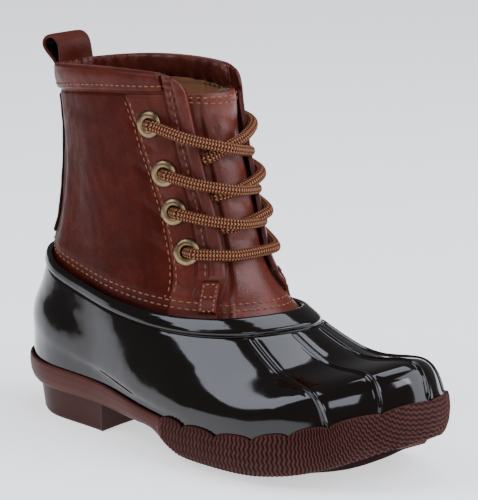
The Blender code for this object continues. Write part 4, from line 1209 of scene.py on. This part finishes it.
backstayMesh = gridSheet(36, 150, backstayPlace)
backstayPiece = makePiece("back_strip", backstayMesh, [darkLeather], awayFrom=(0.03, 0.0, 0.09))
thicken(backstayPiece, backstay["thick"])
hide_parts("backstay")

footBed = bpy.data.objects["insole"]
for k in range(len(footBed.data.materials)):
    footBed.data.materials[k] = tanLining
print("loop, back strip and foot bed made")

# stitches: rows of small rounded threads laid on the leather, joined in one piece
thread = {"pitch": 2.5 * mm, "length": 1.75 * mm, "width": 0.62 * mm, "lift": 0.10 * mm}


def rowOnUpper(controls):
    spots = withEnds(np.array(controls, float))

    def at(f):
        s = onSpline(spots, f * (len(spots) - 3))
        return upperSpot(s[:, 0], s[:, 1], thread["lift"])
    return at


def addStitches(mesh, at, gap=None):
    fine = at(np.linspace(0.0, 1.0, 1500))
    lengths = np.concatenate([[0], np.cumsum(np.linalg.norm(np.diff(fine, axis=0), axis=1))])
    pitch = gap or thread["pitch"]
    count = max(int(lengths[-1] / pitch), 1)
    for k in range(count):
        a = (k + 0.5) * lengths[-1] / count
        ends = [np.array([np.interp(a + shift, lengths, fine[:, j]) for j in range(3)]) for shift in
                (-0.4 * thread["length"], 0.4 * thread["length"])]
        middle = 0.5 * (ends[0] + ends[1])
        along = Vector(unit(ends[1] - ends[0]))
        turned = along.to_track_quat("X", "Z").to_matrix().to_4x4()
        half = 0.5 * thread["width"]
        size = Matrix.Diagonal((half, half, 0.5 * thread["length"] * pitch / thread["pitch"], 1.0))
        spot = Matrix.Translation(Vector(middle)) @ turned @ Matrix.Rotation(pi / 2, 4, "Y") @ size
        bmesh.ops.create_uvsphere(mesh, u_segments=6, v_segments=5, radius=1.0, matrix=spot)


def tabRow(side, a, b):
    def at(f):
        level = mix(a[1], b[1], f)
        first, last = tabShares(side, level)
        share = mix(first, last, mix(a[0], b[0], f))
        return upperSpot(side * share, level, tab["lift"] + tab["thick"] + 0.35 * mm)
    return at


def insideRow(side, first, last, level):
    def at(f):
        return pointAt(wallTurn(side * mix(first, last, f), level), level, -1.75 * mm)
    return at


stayLevels = (7.30, 6.8, 6.2, 5.6, 5.0, 4.45)
footShares = (0.0, 0.2, 0.4, 0.6, 0.8)
seamRows = [   # share and level along each row, and its own pitch where it isn't the usual one
    ([(eyestayLine(level) - 0.012, level) for level in stayLevels], None),
    ([(eyestayLine(level) + 0.012, level) for level in stayLevels], None),
    ([(0.920, level) for level in (7.62, 7.2, 6.8, 6.4, 6.0, 5.6, 5.2, 4.85)], None),
    ([(share, 4.17) for share in (*footShares, 0.99)], 3.0 * mm),
    ([(share, 4.31) for share in (*footShares, 0.93)], 3.0 * mm),
    ([(share, cuffEdge(share) + 0.135) for share in (0.06, 0.2, 0.35, 0.5, 0.65, 0.8, 0.895)], None),
    ([(0.790, 4.30), (0.790, 4.44)], 1.3 * mm),   # bar tack at the foot of the eyestay seam
    ([(0.812, 4.30), (0.812, 4.44)], 1.3 * mm),
]
tabRows = [((0.16, 4.13), (0.16, 4.70)), ((0.84, 4.13), (0.84, 4.70)), ((0.2, 4.70), (0.8, 4.70)),
           ((0.2, 4.42), (0.8, 4.42)), ((0.2, 4.14), (0.8, 4.14))]
seams = bmesh.new()
for side in (1, -1):
    for row, gap in seamRows:
        addStitches(seams, rowOnUpper([(side * share, level) for share, level in row]), gap)
    for a, b in tabRows:
        addStitches(seams, tabRow(side, a, b), 1.6 * mm)
    addStitches(seams, insideRow(side, 0.02, 0.90, 7.40))
putOut("upper_stitches", seams, [stitchThread])

tongueSeams = bmesh.new()
tongueRows = [   # where each row starts and ends across the tongue, and its height, as shares
    (0.06, 0.94, 0.980), (0.06, 0.94, 0.952), (0.10, 0.88, 0.150), (0.10, 0.88, 0.186),
]
for firstU, lastU, height in tongueRows:
    def alongTongue(f, firstU=firstU, lastU=lastU, height=height):
        u = mix(firstU, lastU, f)
        v = np.full_like(u, height)
        across = 2.0 * u - 1.0
        return tonguePlace(u, v) + outwardAt(0.495 + across * 0.1, mix(3.6, 7.6, height)) * 0.12 * mm
    addStitches(tongueSeams, alongTongue)
putOut("tongue_stitches", tongueSeams, [stitchThread])
print("stitches made")

# floor, light and world
studio = {
    "floor": (0.84, 0.84, 0.85), "floorGlow": 1.15, "floorHalf": 4.0, "floorDrop": 0.0001,
    "lamp": (0.84, 0.88, 1.0), "world": (0.95, 0.97, 1.0), "worldStrength": 0.17,
}
# direction from the boot (turned from the near side toward the toe, raised), distance, width, height, power
softBoxes = {
    "mainLight": (-30.0, 46.0, 1.10, 0.50, 0.85, 7.5),
    "topLight": (172.0, 76.0, 1.20, 0.70, 0.60, 6.5),
    "toeLight": (116.0, 34.0, 1.20, 1.10, 1.05, 17.0),
    "frontLight": (84.0, 36.0, 1.40, 0.34, 0.34, 3.0),
    "cameraLight": (43.0, 26.0, 1.30, 0.40, 0.36, 2.6),
}
ground = bmesh.new()
bmesh.ops.create_grid(ground, x_segments=1, y_segments=1, size=studio["floorHalf"])
floorData = bpy.data.meshes.new("floor")
ground.to_mesh(floorData)
ground.free()
floorPiece = bpy.data.objects.new("floor", floorData)
floorPiece.location = (0.0, 0.0, -studio["floorDrop"])
bpy.context.scene.collection.objects.link(floorPiece)
floorLook = Look("floorPaper")
floorLook.feed(colour=studio["floor"], roughness=0.85, glow=studio["floor"], glowStrength=studio["floorGlow"])
floorData.materials.append(floorLook.material)

world = bpy.data.worlds.new("studio")
world.use_nodes = True
worldInputs = world.node_tree.nodes["Background"].inputs
worldInputs["Color"].default_value = (*studio["world"], 1.0)
worldInputs["Strength"].default_value = studio["worldStrength"]
bpy.context.scene.world = world


def softLight(name, turned, raised, distance, width, height, power):
    lamp = bpy.data.lights.new(name, "AREA")
    lamp.shape = "RECTANGLE"
    lamp.size = width
    lamp.size_y = height
    lamp.energy = power
    lamp.color = studio["lamp"]
    setRound(bpy.data.objects.new(name, lamp), turned, raised, distance)


for name, settings in softBoxes.items():
    softLight(name, *settings)
print("studio made")
